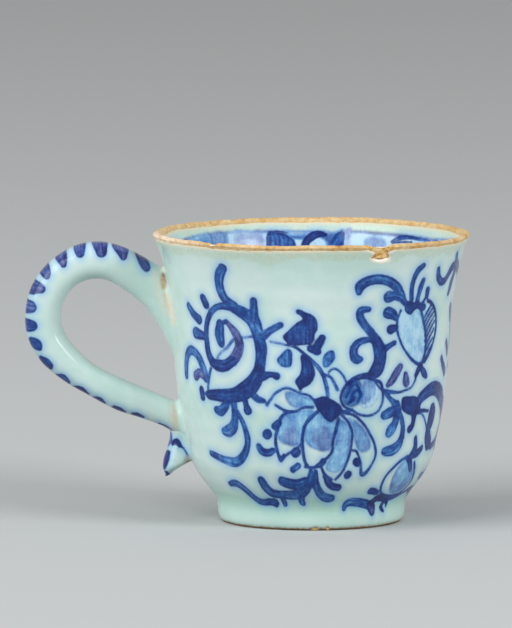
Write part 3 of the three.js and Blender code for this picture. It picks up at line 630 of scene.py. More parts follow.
def spread_line(points, steps):
    """A smooth curve through rows of numbers, with that many steps between each two."""
    rows = np.array(points, dtype=float)
    ends = np.vstack([2 * rows[0] - rows[1], rows, 2 * rows[-1] - rows[-2]])
    before, start, end, after = (part[:, None, :] for part in (ends[:-3], ends[1:-2], ends[2:-1], ends[3:]))
    t = (np.arange(steps) / steps)[None, :, None]
    curve = 0.5 * (2 * start + (end - before) * t + (2 * before - 5 * start + 4 * end - after) * t ** 2
                   + (3 * start - before - 3 * end + after) * t ** 3)
    return np.vstack([curve.reshape(-1, rows.shape[1]), rows[-1]])


def spread_loop(points, steps):
    """The same round a closed outline, without its first point at the end."""
    rows = list(points)
    looped = spread_line([rows[-1]] + rows + rows[:2], steps)
    return looped[steps:-steps - 1]


def lengths(line):
    """How far along a line each of its points is."""
    return np.concatenate([[0], np.cumsum(np.linalg.norm(np.diff(line, axis=0), axis=1))])


def even(line, count):
    """That many points at even distances along a line."""
    along = lengths(line)
    wanted = np.linspace(0, along[-1], count)
    return np.stack([np.interp(wanted, along, column) for column in line.T], axis=1)


def parted(line, height, counts):
    """Even points along a line, with one count before it passes a height and one after."""
    above = line[:, 1] >= height
    first = above == above[0]
    return np.vstack([even(line[first], counts[0]), even(line[~first], counts[1])])


def ease(low, high, value):
    """0 below low, 1 above high, and a smooth rise between them."""
    t = np.clip((value - low) / (high - low), 0, 1)
    return t * t * (3 - 2 * t)


def lattice(cell, seed):
    """A repeatable number from 0 to 1 for each cell of a lattice."""
    x, y, z = cell
    mixed = (x * 374761393 + y * 668265263 + z * 1274126177 + seed * 974634777) & 0x7FFFFFFF
    mixed = ((mixed ^ (mixed >> 13)) * 1103515245) & 0x7FFFFFFF
    return ((mixed ^ (mixed >> 16)) & 0xFFFF) / 0xFFFF


def noise(points, size, seed):
    """Smooth noise from -1 to 1 with bumps of about that size."""
    scaled = np.moveaxis(points, -1, 0) / size
    cell = np.floor(scaled).astype(np.int64)
    t = scaled - cell
    t = t * t * (3 - 2 * t)
    total = 0
    for corner in np.ndindex(2, 2, 2):
        weight = 1
        for axis in range(3):
            weight = weight * (t[axis] if corner[axis] else 1 - t[axis])
        total = total + weight * lattice([cell[axis] + corner[axis] for axis in range(3)], seed)
    return 2 * total - 1


def unevenness(points, layers):
    """Noise of several sizes added up."""
    return sum(swing * noise(points, size, seed) for swing, size, seed in layers)


def waves(turn, sizes):
    """Waves round the cup added up."""
    return sum(size * np.sin(count * turn + start) for size, count, start in sizes)


outside_line = spread_line(OUTSIDE_OUTLINE, CURVE_STEPS)
inside_line = spread_line(INSIDE_OUTLINE, CURVE_STEPS)


def outside_radius(height):
    """The radius of the glazed outside of the wall."""
    return np.interp(height, outside_line[:, 1], outside_line[:, 0])


def thrown(points):
    """Moves points as a hand-thrown wall runs out of true: mostly near the lip, and in faint rings."""
    x, y, z = np.moveaxis(points, -1, 0)
    turn = np.arctan2(x, -y)
    rings = 0.02 * np.sin(z * 1.35 + 0.6 * np.sin(turn)) + 0.018 * np.sin(z * 0.7 + turn)
    swell = ease(12, RIM_HEIGHT, z) * waves(turn, WALL_SWELL) + rings * ease(6, 12, z)
    stretch = 1 + swell / np.maximum(np.hypot(x, y), 5)
    return np.stack([x * stretch, y * stretch, z + waves(turn, LIP_LIFT) * ease(58, RIM_HEIGHT, z)], axis=-1)


def normals_of(line):
    """Unit vectors to the left of a line of radius and height points."""
    along = np.gradient(line, axis=0)
    along = along / np.maximum(np.linalg.norm(along, axis=1, keepdims=True), 1e-9)
    return np.stack([-along[:, 1], along[:, 0]], axis=1)


def closed_ring(outline):
    """A closed outline as a line that ends where it starts, without width."""
    ring = np.column_stack([outline, np.zeros(len(outline))])
    return np.vstack([ring, ring[:1]])


def inside_ring(places, ring):
    """True for each place inside a closed ring."""
    x, y = places[:, 0], places[:, 1]
    result = np.zeros(len(places), dtype=bool)
    for (ax, ay), (bx, by) in zip(ring[:-1, :2], ring[1:, :2]):
        if ay != by:
            result ^= ((ay > y) != (by > y)) & (x < ax + (y - ay) * (bx - ax) / (by - ay))
    return result


class Painting:
    """What is painted on a surface: how far each vertex is outside the ink and the wash, and their tones."""

    def __init__(self, across, up, period=None):
        self.across = across
        self.up = up
        self.period = period
        self.strokes = 0
        self.layers = {}
        for name in BLEND:
            self.layers[name] = {key: np.full(across.shape, value) for key, value in UNPAINTED.items()}
            self.layers[name]["brush"] = np.zeros(across.shape + (3,))

    def near(self, line):
        """The vertices near a line, as a mask, and their places beside it."""
        low = line[:, :2].min(axis=0)
        high = line[:, :2].max(axis=0)
        middle = (low + high) / 2
        sideways = self.across - middle[0]
        if self.period:
            sideways = (sideways + self.period / 2) % self.period - self.period / 2
        reach = (high - low) / 2 + MARGIN
        mask = (np.abs(sideways) < reach[0]) & (np.abs(self.up - middle[1]) < reach[1])
        return mask, np.stack([sideways[mask] + middle[0], self.up[mask]], axis=1)

    def beside(self, places, line):
        """Per place: distance outside a line with widths, distance along it, and distance to its side."""
        start = line[:-1]
        step = line[1:] - start
        length = np.maximum(np.linalg.norm(step[:, :2], axis=1), 1e-6)
        relative = places[:, None, :] - start[None, :, :2]
        t = np.clip((relative * step[:, :2]).sum(axis=2) / length ** 2, 0, 1)
        off = relative - t[..., None] * step[:, :2]
        distance = np.linalg.norm(off, axis=2) - (start[:, 2] + t * step[:, 2]) / 2
        nearest = distance.argmin(axis=1)
        rows = np.arange(len(places))
        along = lengths(line[:, :2])[nearest] + t[rows, nearest] * length[nearest]
        side = step[nearest, 0] * relative[rows, nearest, 1] - step[nearest, 1] * relative[rows, nearest, 0]
        return distance[rows, nearest], along, side / length[nearest]

    def depth(self, outline):
        """How deep each vertex is inside a closed outline, negative outside it."""
        ring = closed_ring(outline)
        mask, places = self.near(ring)
        away = self.beside(places, ring)[0]
        result = np.full(self.across.shape, -FAR)
        result[mask] = np.where(inside_ring(places, ring), away, -away)
        return result

    def lay(self, layer, mask, away, ink, along, side):
        """Lays one mark over what is there."""
        old = self.layers[layer]
        blend = BLEND[layer]
        tone, violet = INKS[ink]
        before = old["away"][mask]
        share = np.clip(0.5 + (before - away) / blend, 0, 1)
        share = np.maximum(share, np.clip(-away / blend * 2, 0, 1))
        under = old["tone"][mask]
        tone = np.where(before < 0, np.maximum(tone, under), tone)
        brush = np.stack([along, side, np.full(len(along), BRUSH_STEP * self.strokes)], axis=1)
        old["tone"][mask] += (tone - under) * share
        old["violet"][mask] += (violet - old["violet"][mask]) * share
        old["over"][mask] += np.clip(np.minimum(-before, -away) / 0.5, 0, 1) * 0.5
        old["brush"][mask] = np.where((share > 0.5)[:, None], brush, old["brush"][mask])
        old["away"][mask] = np.minimum(before, away)
        self.strokes += 1

    def stroke(self, ink, points):
        """Paints a stroke of the brush through rows of place, height and width."""
        line = spread_line(points, STROKE_STEPS)
        mask, places = self.near(line)
        if mask.any():
            away, along, side = self.beside(places, line)
            self.lay("ink", mask, away, ink, along, side)

    def fill(self, ink, points, layer="ink"):
        """Paints a shape inside a closed outline."""
        ring = closed_ring(spread_loop(points, 4))
        mask, places = self.near(ring)
        if mask.any():
            away = self.beside(places, ring)[0]
            away = np.where(inside_ring(places, ring), -away, away)
            self.lay(layer, mask, away, ink, places[:, 1], places[:, 0])

    def paint(self, washes, shapes, strokes, copy=list):
        """Paints washes, then filled shapes, then strokes. The function copy moves the points of each."""
        for ink, points in washes:
            self.fill(ink, copy(points), "wash")
        for ink, points in shapes:
            self.fill(ink, copy(points))
        for ink, points in strokes:
            self.stroke(ink, copy(points))

    def hatch(self, ink, low, high, count, reach, width):
        """Slanting lines side by side from low to high, longest in the middle."""
        for t in np.arange(count) / (count - 1):
            x, z = np.array(low) + np.subtract(high, low) * t
            swell = 0.55 + 0.45 * math.sin(math.pi * min(max(t, 0.12), 0.9))
            end_x, end_z = x + reach[0] * swell, z + reach[1] * swell
            middle = ((x + end_x) / 2 - 0.1, (z + end_z) / 2 + 0.1, width * 1.1)
            self.stroke(ink, [(x, z, width), middle, (end_x, end_z, width)])


def mirrored(points):
    """The same points beyond the handle's plane, a little out of true as a hand-drawn copy is."""
    result = []
    for arc, height, *width in points:
        moved = 2 * MIDDLE_ARC - arc + 0.5 * math.sin(height * 0.23 + 1)
        lifted = height + 0.45 * math.sin(arc * 0.19 + 0.5) if height > 8 else height
        result.append((moved, lifted, *width))
    return result


def paint_wall(across, up):
    painting = Painting(across, up, TURN)
    for copy in (list, mirrored):
        painting.paint(WASHES, SHAPES, ALL_STROKES + JOINING_STROKES, copy)
    painting.hatch(**BUD_HATCH)
    painting.paint([], [], SIDE_STEM)
    for turn in np.arange(PETALS) * 2 * math.pi / PETALS + PETAL_TURN:
        lean = np.array([[math.sin(turn), math.cos(turn)], [math.cos(turn), -math.sin(turn)]])
        petal = np.array(PETAL) @ lean + SIDE_FLOWER
        painting.fill("light", petal.tolist(), "wash")
        painting.stroke("line", [(arc, height, 0.8) for arc, height in petal])
    painting.stroke("dark", [(*SIDE_FLOWER, 2.6), (*SIDE_FLOWER, 2.6)])
    return painting


def paint_band(across, up):
    painting = Painting(across, up, TURN)
    for shift in TURN * np.arange(BAND_REPEATS) / BAND_REPEATS:
        painting.paint(BAND_WASHES, BAND_SHAPES, BAND_STROKES,
                       lambda points: [(arc + shift, *rest) for arc, *rest in points])
    return painting


def paint_side(points, marks):
    """Marks that are drawn as seen from the side, on both sides alike."""
    painting = Painting(points[..., 0], points[..., 2])
    painting.paint([], [], marks)
    return painting


def grid_mesh(name, points, closed_down=False, rows_at=None):
    """A smooth mesh from a grid of points whose columns close into rings. It is closed down its rows as
    well, or has a flat face over its first and its last ring."""
    rows, columns = points.shape[:2]
    place = np.arange(rows * columns).reshape(rows, columns)
    if rows_at is None:
        rows_at = np.linspace(0, 1, rows + 1 if closed_down else rows)
    count = rows if closed_down else rows - 1
    below = np.roll(place, -1, axis=0)
    corners = [place, below, np.roll(below, -1, axis=1), np.roll(place, -1, axis=1)]
    faces = np.stack([corner[:count] for corner in corners], axis=-1).reshape(-1, 4).tolist()
    if not closed_down:
        faces += [place[0].tolist(), place[-1][::-1].tolist()]
    moved = (points.reshape(-1, 3) + np.array([AXIS_X, 0, 0])) * MM
    mesh = bpy.data.meshes.new(name)
    mesh.from_pydata(moved.tolist(), [], faces)
    mesh.shade_smooth()
    unroll(mesh, columns, count, rows_at, closed_down)
    obj = bpy.data.objects.new(name, mesh)
    bpy.context.scene.collection.objects.link(obj)
    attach(obj, "root")
    return obj


def unroll(mesh, columns, count, rows_at, closed_down):
    """Maps each ring of the grid across the square and the rows down it."""
    left = np.tile(np.arange(columns) / columns, (count, 1))
    right = left + 1 / columns
    ends = (rows_at[:count], rows_at[1:count + 1])
    top, bottom = (np.repeat(np.array(at)[:, None], columns, axis=1) for at in ends)
    corners = np.stack([left, top, left, bottom, right, bottom, right, top], axis=-1).reshape(-1, 2)
    values = np.zeros((len(mesh.loops), 2))
    values[:len(corners)] = corners
    if not closed_down:
        for edge, face in enumerate(mesh.polygons[-2:]):
            values[list(face.loop_indices), 0] = np.linspace(0, 1, face.loop_total)
            values[list(face.loop_indices), 1] = edge
    mesh.uv_layers.new(name="OFBake").data.foreach_set("uv", values.ravel())


def give(obj, name, values, kind="FLOAT"):
    """Stores one number or one vector per vertex, or the same number at all of them."""
    values = np.asarray(values, dtype=float)
    if values.ndim == 0:
        values = np.full(len(obj.data.vertices), values)
    attribute = obj.data.attributes.new(name, kind, "POINT")
    attribute.data.foreach_set("value" if kind == "FLOAT" else "vector", values.ravel())


def give_with_back(obj, name, values, fill):
    """Stores numbers on a skin, and one number on the hidden rows of its back."""
    give(obj, name, np.pad(values, ((0, BACK_ROWS), (0, 0)), constant_values=fill))


def give_painting(obj, painting, extra_rows=0):
    """Stores a painting on a mesh whose last rows are its hidden back."""
    for name, layer in painting.layers.items():
        for key, fill in UNPAINTED.items():
            give(obj, f"{name}_{key}", np.pad(layer[key], ((0, extra_rows), (0, 0)), constant_values=fill))
        give(obj, f"{name}_brush", np.pad(layer["brush"], ((0, extra_rows), (0, 0), (0, 0))), "FLOAT_VECTOR")


def give_stains_and_sheen(obj, points):
    """Stores the strength of the stains and painted highlights at each point, from 0 to 1, and the shade of
    the nearest one.
    """
    stain_and_sheen_strength = np.zeros(points.shape[:-1])
    shades = np.full(points.shape[:-1], 0.5)
    weights = np.full(points.shape[:-1], 1e-6)
    board = Painting(points[..., 0], points[..., 2])
    for side, strength, shade, line in STAINS_AND_SHEEN:
        line = spread_line(line, STROKE_STEPS)
        mask, places = board.near(line)
        on_side = (points[..., 1][mask] > 0) == (side == "back")
        away = np.where(on_side, board.beside(places, line)[0], FAR)
        stain_and_sheen_strength[mask] = np.maximum(stain_and_sheen_strength[mask], strength * (1 - ease(-0.3, 0.8, away)))
        weight = np.exp(-(np.maximum(away, 0) / 0.4) ** 2)
        shades[mask] += (shade - shades[mask]) * weight / (weights[mask] + weight)
        weights[mask] += weight
    give(obj, "stain_and_sheen", stain_and_sheen_strength)
    give(obj, "stain_and_sheen_tone", shades)


def screen(colour):
    """A screen colour as the linear colour that nodes use."""
    linear = [(c / 255 / 12.92) if c <= 10 else ((c / 255 + 0.055) / 1.055) ** 2.4 for c in colour]
    return (*linear, 1.0)


class Nodes:
    """Adds nodes to a material and joins them."""

    def __init__(self, name):
        self.material = bpy.data.materials.new(name)
        self.material.use_nodes = True
        self.tree = self.material.node_tree
        self.tree.nodes.clear()
        self.place = self.add("ShaderNodeTexCoord").outputs["Object"]

    def add(self, kind, inputs=None, **settings):
        made = self.tree.nodes.new(kind)
        for key, value in settings.items():
            setattr(made, key, value)
        for key, value in (inputs or {}).items():
            if isinstance(value, bpy.types.NodeSocket):
                self.tree.links.new(value, made.inputs[key])
            else:
                made.inputs[key].default_value = value
        return made

    def math(self, operation, first, second=0.0, clamp=False):
        made = self.add("ShaderNodeMath", {0: first, 1: second}, operation=operation, use_clamp=clamp)
        return made.outputs[0]

    def plus(self, first, second, clamp=False):
        return self.math("ADD", first, second, clamp)

    def times(self, first, second):
        return self.math("MULTIPLY", first, second)

    def scaled(self, value, low, high, to_low=0.0, to_high=1.0):
        """Smoothly maps low..high to to_low..to_high."""
        inputs = {"Value": value, "From Min": low, "From Max": high, "To Min": to_low, "To Max": to_high}
        return self.add("ShaderNodeMapRange", inputs, interpolation_type="SMOOTHSTEP").outputs["Result"]

    def mix(self, share, first, second):
        """Mixes two colours, each a node's or one of the colours above."""
        inputs = {0: share}
        for place, colour in ((6, first), (7, second)):
            inputs[place] = screen(colour) if isinstance(colour, tuple) else colour
        return self.add("ShaderNodeMix", inputs, data_type="RGBA").outputs[2]

    def ramp(self, value, stops):
        made = self.add("ShaderNodeValToRGB", {"Fac": value})
        elements = made.color_ramp.elements
        while len(elements) < len(stops):
            elements.new(0.5)
        for element, (place, colour) in zip(elements, stops):
            element.position = place
            element.color = screen(colour)
        return made.outputs["Color"]

    def attribute(self, name, output="Fac"):
        return self.add("ShaderNodeAttribute", attribute_name=name).outputs[output]

    def noise(self, size, detail, vector=None):
        """Noise whose bumps are about that wide, in millimetres or in the vector's own unit."""
        source, unit = (self.place, MM) if vector is None else (vector, 1)
        inputs = {"Vector": source, "Scale": 1 / (size * unit), "Detail": detail}
        return self.add("ShaderNodeTexNoise", inputs).outputs["Fac"]

    def patchy(self, size, detail, *limits):
        """Noise scaled as limits say."""
        return self.scaled(self.noise(size, detail), *limits)

    def swing(self, noise, amount):
        """Noise about 0, that far from side to side."""
        return self.times(self.math("SUBTRACT", noise, 0.5), amount)

    def specks(self, spacing, radius, share):
        """Round specks on a random part of the cells of a lattice."""
        cells = self.add("ShaderNodeTexVoronoi", {"Vector": self.place, "Scale": 1 / (spacing * MM)})
        near = self.scaled(cells.outputs["Distance"], radius / spacing * 0.6, radius / spacing, 1, 0)
        picked = self.add("ShaderNodeSeparateColor", {"Color": cells.outputs["Color"]}).outputs[0]
        return self.times(near, self.math("LESS_THAN", picked, share))

    def bump(self, height, depth, after=None):
        inputs = {"Height": height, "Distance": depth * MM, "Strength": 1.0}
        if after is not None:
            inputs["Normal"] = after
        return self.add("ShaderNodeBump", inputs).outputs["Normal"]

    def surface(self, colour, roughness, normal):
        inputs = {"Base Color": colour, "Roughness": roughness, "Normal": normal}
        shader = self.add("ShaderNodeBsdfPrincipled", {**inputs, "Specular IOR Level": SPECULAR})
        self.add("ShaderNodeOutputMaterial", {0: shader.outputs[0]})
        return self.material


def glaze_colour(nodes):
    """The glaze's colour: slow drifts of tone, the pool of thick glaze over the foot with painted shade under
    the belly, and iron specks.
    """
    colour = nodes.mix(nodes.patchy(16, 2, 0.35, 0.7), GLAZE_COLOUR, GLAZE_GREEN)
    colour = nodes.mix(nodes.patchy(5, 3, 0.5, 0.75, 0, 0.5), colour, GLAZE_PALE)
    height = nodes.add("ShaderNodeSeparateXYZ", {0: nodes.place}).outputs["Z"]
    # Thick glaze pooled over the foot, with painted shade under the belly, darkest where the wall meets the
    # foot
    pooled_and_shaded = nodes.times(nodes.scaled(height, POOL_AND_SHADE_LOW * MM, POOL_AND_SHADE_MIDDLE * MM, 0.3, 1),
                         nodes.scaled(height, POOL_AND_SHADE_MIDDLE * MM, POOL_AND_SHADE_HIGH * MM, 0.75, 0))
    colour = nodes.mix(pooled_and_shaded, colour, GLAZE_POOLED_AND_SHADED)
    return nodes.mix(nodes.times(nodes.specks(3.2, 0.13, 0.22), 0.5), colour, SPECK_COLOUR)


def glaze_normal(nodes):
    """The slow waves and the fine orange peel of a fired glaze, and its pinholes."""
    waving = nodes.bump(nodes.noise(3.5, 2), 0.05)
    peel = nodes.bump(nodes.noise(0.5, 1), 0.006, waving)
    return nodes.bump(nodes.times(nodes.specks(2.4, 0.11, 0.16), -1.0), 0.04, peel)


def halo_under_ink(nodes, colour):
    """The cobalt that has run into the glaze round each stroke."""
    away = nodes.math("DIVIDE", nodes.attribute("ink_away"), HALO_REACH)
    near = nodes.math("SUBTRACT", 1.0, away, clamp=True)
    return nodes.mix(nodes.times(nodes.math("POWER", near, HALO_FADE), HALO_STRENGTH), colour, HALO_COLOUR)


def paint_over(nodes, colour, layer):
    """Lays the ink or the wash over a colour, with the brush's streaks, grains and pools at its edges."""
    strength, softness, streak, grains = COVER[layer]
    away = nodes.attribute(f"{layer}_away")
    for size, amount in EDGE_WANDER:
        away = nodes.plus(away, nodes.swing(nodes.noise(size, 3), amount))
    inputs = {0: nodes.attribute(f"{layer}_brush", "Vector"), 1: STREAK_STRETCH}
    stretched = nodes.add("ShaderNodeVectorMath", inputs, operation="MULTIPLY").outputs[0]
    tone = nodes.plus(nodes.attribute(f"{layer}_tone"), nodes.swing(nodes.noise(1, 2, stretched), streak))
    for size, amount in grains:
        tone = nodes.plus(tone, nodes.swing(nodes.noise(size, 2), amount))
    tone = nodes.plus(tone, nodes.scaled(away, -0.9, -0.1, -0.04, 0.1))
    tone = nodes.plus(tone, nodes.times(nodes.attribute(f"{layer}_over"), 0.12))
    violet = nodes.plus(nodes.attribute(f"{layer}_violet"), nodes.swing(nodes.noise(6, 1), 0.5), clamp=True)
    ink = nodes.mix(violet, nodes.ramp(tone, BLUE_RAMP), nodes.ramp(tone, VIOLET_RAMP))
    return nodes.mix(nodes.scaled(away, -softness, softness, strength, 0), colour, ink)


def painted_glaze():
    nodes = Nodes("painted_glaze")
    edge = nodes.attribute("bare_edge")
    curtain = nodes.plus(edge, nodes.swing(nodes.noise(7, 2), 5))
    thin = nodes.times(nodes.scaled(curtain, -3, -1.8), nodes.patchy(0.45, 5, 0.38, 0.62, 0.2, 0.7))
    pink = nodes.times(nodes.scaled(curtain, -2.4, -1), nodes.patchy(0.8, 5, 0.5, 0.66, 0, 0.38))
    worn = nodes.times(nodes.scaled(edge, -0.9, -0.2), nodes.patchy(1, 3, 0.3, 0.55, 0.3, 0.85))
    crescent = nodes.plus(nodes.attribute("under_chip"), nodes.swing(nodes.noise(0.9, 4), 1.4))
    colour = glaze_colour(nodes)
    colour = nodes.mix(thin, colour, GLAZE_THIN)
    colour = nodes.mix(pink, colour, GLAZE_PINK)
    colour = nodes.mix(worn, colour, GLAZE_WORN)
    # The pale crescent under the flake: partly the glaze's broken edge, partly a painted highlight
    colour = nodes.mix(nodes.scaled(crescent, -0.25, 0.25, 0, 0.85), colour, CRESCENT_COLOUR)
    colour = halo_under_ink(nodes, colour)
    colour = paint_over(nodes, colour, "wash")
    colour = paint_over(nodes, colour, "ink")
    # Stains at the joins, and pale marks on the upper join's ridge that are partly slip and partly a painted
    # highlight
    stain_and_sheen = nodes.times(nodes.attribute("stain_and_sheen"), nodes.patchy(0.7, 3, 0.3, 0.6, 0.7, 1))
    shade = nodes.plus(nodes.attribute("stain_and_sheen_tone"), nodes.swing(nodes.noise(0.9, 3), 0.45))
    colour = nodes.mix(stain_and_sheen, colour, nodes.ramp(shade, STAIN_AND_SHEEN_RAMP))
    chipped = nodes.scaled(nodes.attribute("chip_edge"), -0.14, -0.02, 0, 0.7)
    chipped = nodes.math("MAXIMUM", chipped, nodes.scaled(edge, -0.05, 0.15, 0, 0.8))
    colour = nodes.mix(chipped, colour, CRESCENT_COLOUR)
    gloss = nodes.plus(nodes.patchy(2, 2, 0.3, 0.7, 0.12, 0.2), nodes.scaled(edge, -1.6, 0.1, 0, 0.3))
    gloss = nodes.plus(gloss, nodes.times(stain_and_sheen, 0.4), clamp=True)
    return nodes.surface(colour, gloss, glaze_normal(nodes))


def plain_glaze():
    nodes = Nodes("plain_glaze")
    edge = nodes.scaled(nodes.attribute("bare_edge"), -0.9, 0)
    rusty = nodes.times(edge, nodes.patchy(0.9, 3, 0.4, 0.6, 0.2, 1))
    colour = halo_under_ink(nodes, glaze_colour(nodes))
    colour = paint_over(nodes, colour, "ink")
    colour = nodes.mix(rusty, colour, RUST_COLOUR)
    gloss = nodes.plus(nodes.patchy(2, 2, 0.3, 0.7, 0.12, 0.22), nodes.times(rusty, 0.4), clamp=True)
    return nodes.surface(colour, gloss, glaze_normal(nodes))


def bare_clay():
    nodes = Nodes("bare_clay")
    grain = nodes.noise(0.9, 5)
    tone = nodes.plus(nodes.times(grain, 0.6), nodes.times(nodes.noise(4.5, 2), 0.4))
    broken = nodes.times(nodes.attribute("broken"), nodes.scaled(grain, 0.35, 0.6, 1, 0.6))
    pits = nodes.times(nodes.specks(1.5, 0.22, 0.32), 0.75)
    # A painted highlight on the top of the lip on its left side
    pale = nodes.times(nodes.attribute("pale"), nodes.patchy(1.2, 2, 0.35, 0.6, 0.4, 1))
    colour = nodes.mix(broken, nodes.ramp(tone, CLAY_RAMP), nodes.ramp(nodes.noise(0.9, 4), CHIP_RAMP))
    # Darker along the flake's lower edge and round the foot's base
    colour = nodes.mix(nodes.attribute("dark_edge"), colour, DARK_EDGE_COLOUR)
    colour = nodes.mix(pits, colour, PIT_COLOUR)
    colour = nodes.mix(pale, colour, LIP_HIGHLIGHT_COLOUR)
    normal = nodes.bump(nodes.times(pits, -1.0), 0.12, nodes.bump(nodes.noise(0.7, 4), 0.12))
    return nodes.surface(colour, nodes.scaled(grain, 0.3, 0.7, 0.7, 0.9), normal)


def joining_slip():
    nodes = Nodes("joining_slip")
    grain = nodes.noise(0.5, 5)
    rough = nodes.scaled(grain, 0.3, 0.7, 0.75, 0.95)
    return nodes.surface(nodes.ramp(grain, SLIP_RAMP), rough, nodes.bump(nodes.noise(0.4, 4), 0.15))


def finish_piece(obj, material, slot, *nodes):
    """Gives a piece its material and hides the CAD nodes that it stands in for. The slot is not used."""
    obj.data.materials.append(material)
    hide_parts(*nodes)


def ring_points(line, turns):
    """The grid of points, or of directions, that a line of radius and height makes round the axis."""
    radius, height = line[:, 0][:, None], line[:, 1][:, None]
    return np.stack([radius * np.sin(turns), -radius * np.cos(turns), height * np.ones_like(turns)], axis=-1)


def turns_of(columns):
    """The angle of each column round the cup, 0 in front."""
    return np.arange(columns) / columns * 2 * math.pi - math.pi


def straight_out(turns):
    """Directions straight out from the axis, as one row."""
    return ring_points(np.array([[1.0, 0.0]]), turns)


def arcs_of(turns, rows):
    """The arc of each column on the unrolled wall, in every row."""
    return np.broadcast_to(turns * UNROLL_RADIUS, (rows, len(turns)))


def ragged_edge(turns, seed, base, depth):
    """The height at which a coat ends, different all the way round."""
    circle = np.stack([np.sin(turns), np.cos(turns), np.zeros_like(turns)], axis=-1) * RIM_HEIGHT / 2
    return base + depth * (0.6 * noise(circle, 7, seed) + 0.4 * noise(circle, 1.6, seed + 1))


def sunk(points, outward, bare):
    """Draws a coat back into the clay where it is missing, with a rounded edge."""
    drop = EDGE_SINK * ease(-0.02, 0.3, bare) + 0.06 * ease(-0.7, 0, bare)
    return points - outward * drop[..., None]


def with_back(front, outward):
    """The rows of a coat's front, then fewer rows up its back."""
    back = front[::-1] - outward[::-1] * GLAZE
    picks = np.linspace(0, len(front) - 1, BACK_ROWS).round().astype(int)
    return np.concatenate([front, back[picks]])


def rows_with_back(rows, end):
    """Where a coat's rows lie down the unrolled square: the front from 1 to end, and the back after it."""
    return np.concatenate([np.linspace(1, end, rows), np.linspace(end - 0.005, 0, BACK_ROWS + 1)])


def make_outside_glaze(material):
    turns = turns_of(OUTSIDE_COLUMNS)
    line = even(outside_line[outside_line[:, 1] <= OUTSIDE_COAT_TOP], OUTSIDE_ROWS)[::-1]
    front = ring_points(line, turns)
    outward = ring_points(normals_of(line), turns)
    arc, height = arcs_of(turns, OUTSIDE_ROWS), front[..., 2]
    painting = paint_wall(arc, height)
    bare = height - ragged_edge(turns, *OUTSIDE_EDGE)
    chip = painting.depth(FLAKE)
    # The pale crescent under the flake, partly a painted highlight
    under_chip = Painting(arc, height + UNDER_CHIP, TURN).depth(FLAKE)
    points = thrown(with_back(sunk(front, outward, np.maximum(bare, chip)), outward))
    obj = grid_mesh("outside_glaze_skin", points, True, rows_with_back(OUTSIDE_ROWS, 0.03))
    give_painting(obj, painting, BACK_ROWS)
    give_with_back(obj, "bare_edge", bare, FAR)
    give_with_back(obj, "chip_edge", chip, -FAR)
    give_with_back(obj, "under_chip", np.maximum(under_chip, -1), -1)
    give_stains_and_sheen(obj, points)
    finish_piece(obj, material, "painted_glaze", "outside_glaze")


def make_inside_glaze(material):
    turns = turns_of(INSIDE_COLUMNS)[::-1]
    line = inside_line[inside_line[:, 1] <= INSIDE_COAT_TOP]
    line = parted(line, BAND_ZONE, (INSIDE_ROWS // 2, INSIDE_ROWS // 2))
    front = ring_points(line, turns)
    outward = ring_points(-normals_of(line), turns)
    from_back = np.where(turns > 0, math.pi, -math.pi) - turns
    painting = paint_band(arcs_of(from_back, INSIDE_ROWS), front[..., 2])
    bare = front[..., 2] - ragged_edge(turns, *INSIDE_EDGE)
    points = thrown(with_back(sunk(front, outward, bare), outward))
    obj = grid_mesh("inside_glaze_skin", points, True, rows_with_back(INSIDE_ROWS, 0.05))
    give_painting(obj, painting, BACK_ROWS)
    give_with_back(obj, "bare_edge", bare, FAR)
    give(obj, "chip_edge", -FAR)
    give(obj, "under_chip", -1)
    give(obj, "stain_and_sheen", 0)
    finish_piece(obj, material, "painted_glaze", "inside_glaze")


def scoop(points, angle, radius, height, sizes, way):
    """Presses clay points out of an ellipsoid, towards the axis or straight down. Says which were moved."""
    turn = math.radians(angle)
    out = np.array([math.sin(turn), -math.cos(turn), 0])
    side = np.array([math.cos(turn), math.sin(turn), 0])
    up = np.array([0, 0, 1.0])
    axes = np.stack([side, out, up])
    way = -out if way == "in" else -up
    local = (points - out * radius - up * height) @ axes.T / sizes
    heading = (axes @ way) / sizes
    a = heading @ heading
    b = local @ heading
    c = (local ** 2).sum(axis=-1) - 1
    hit = c < 0
    reach = (-b + np.sqrt(np.maximum(b * b - a * c, 0))) / a
    return points + way * np.where(hit, reach, 0)[..., None], hit


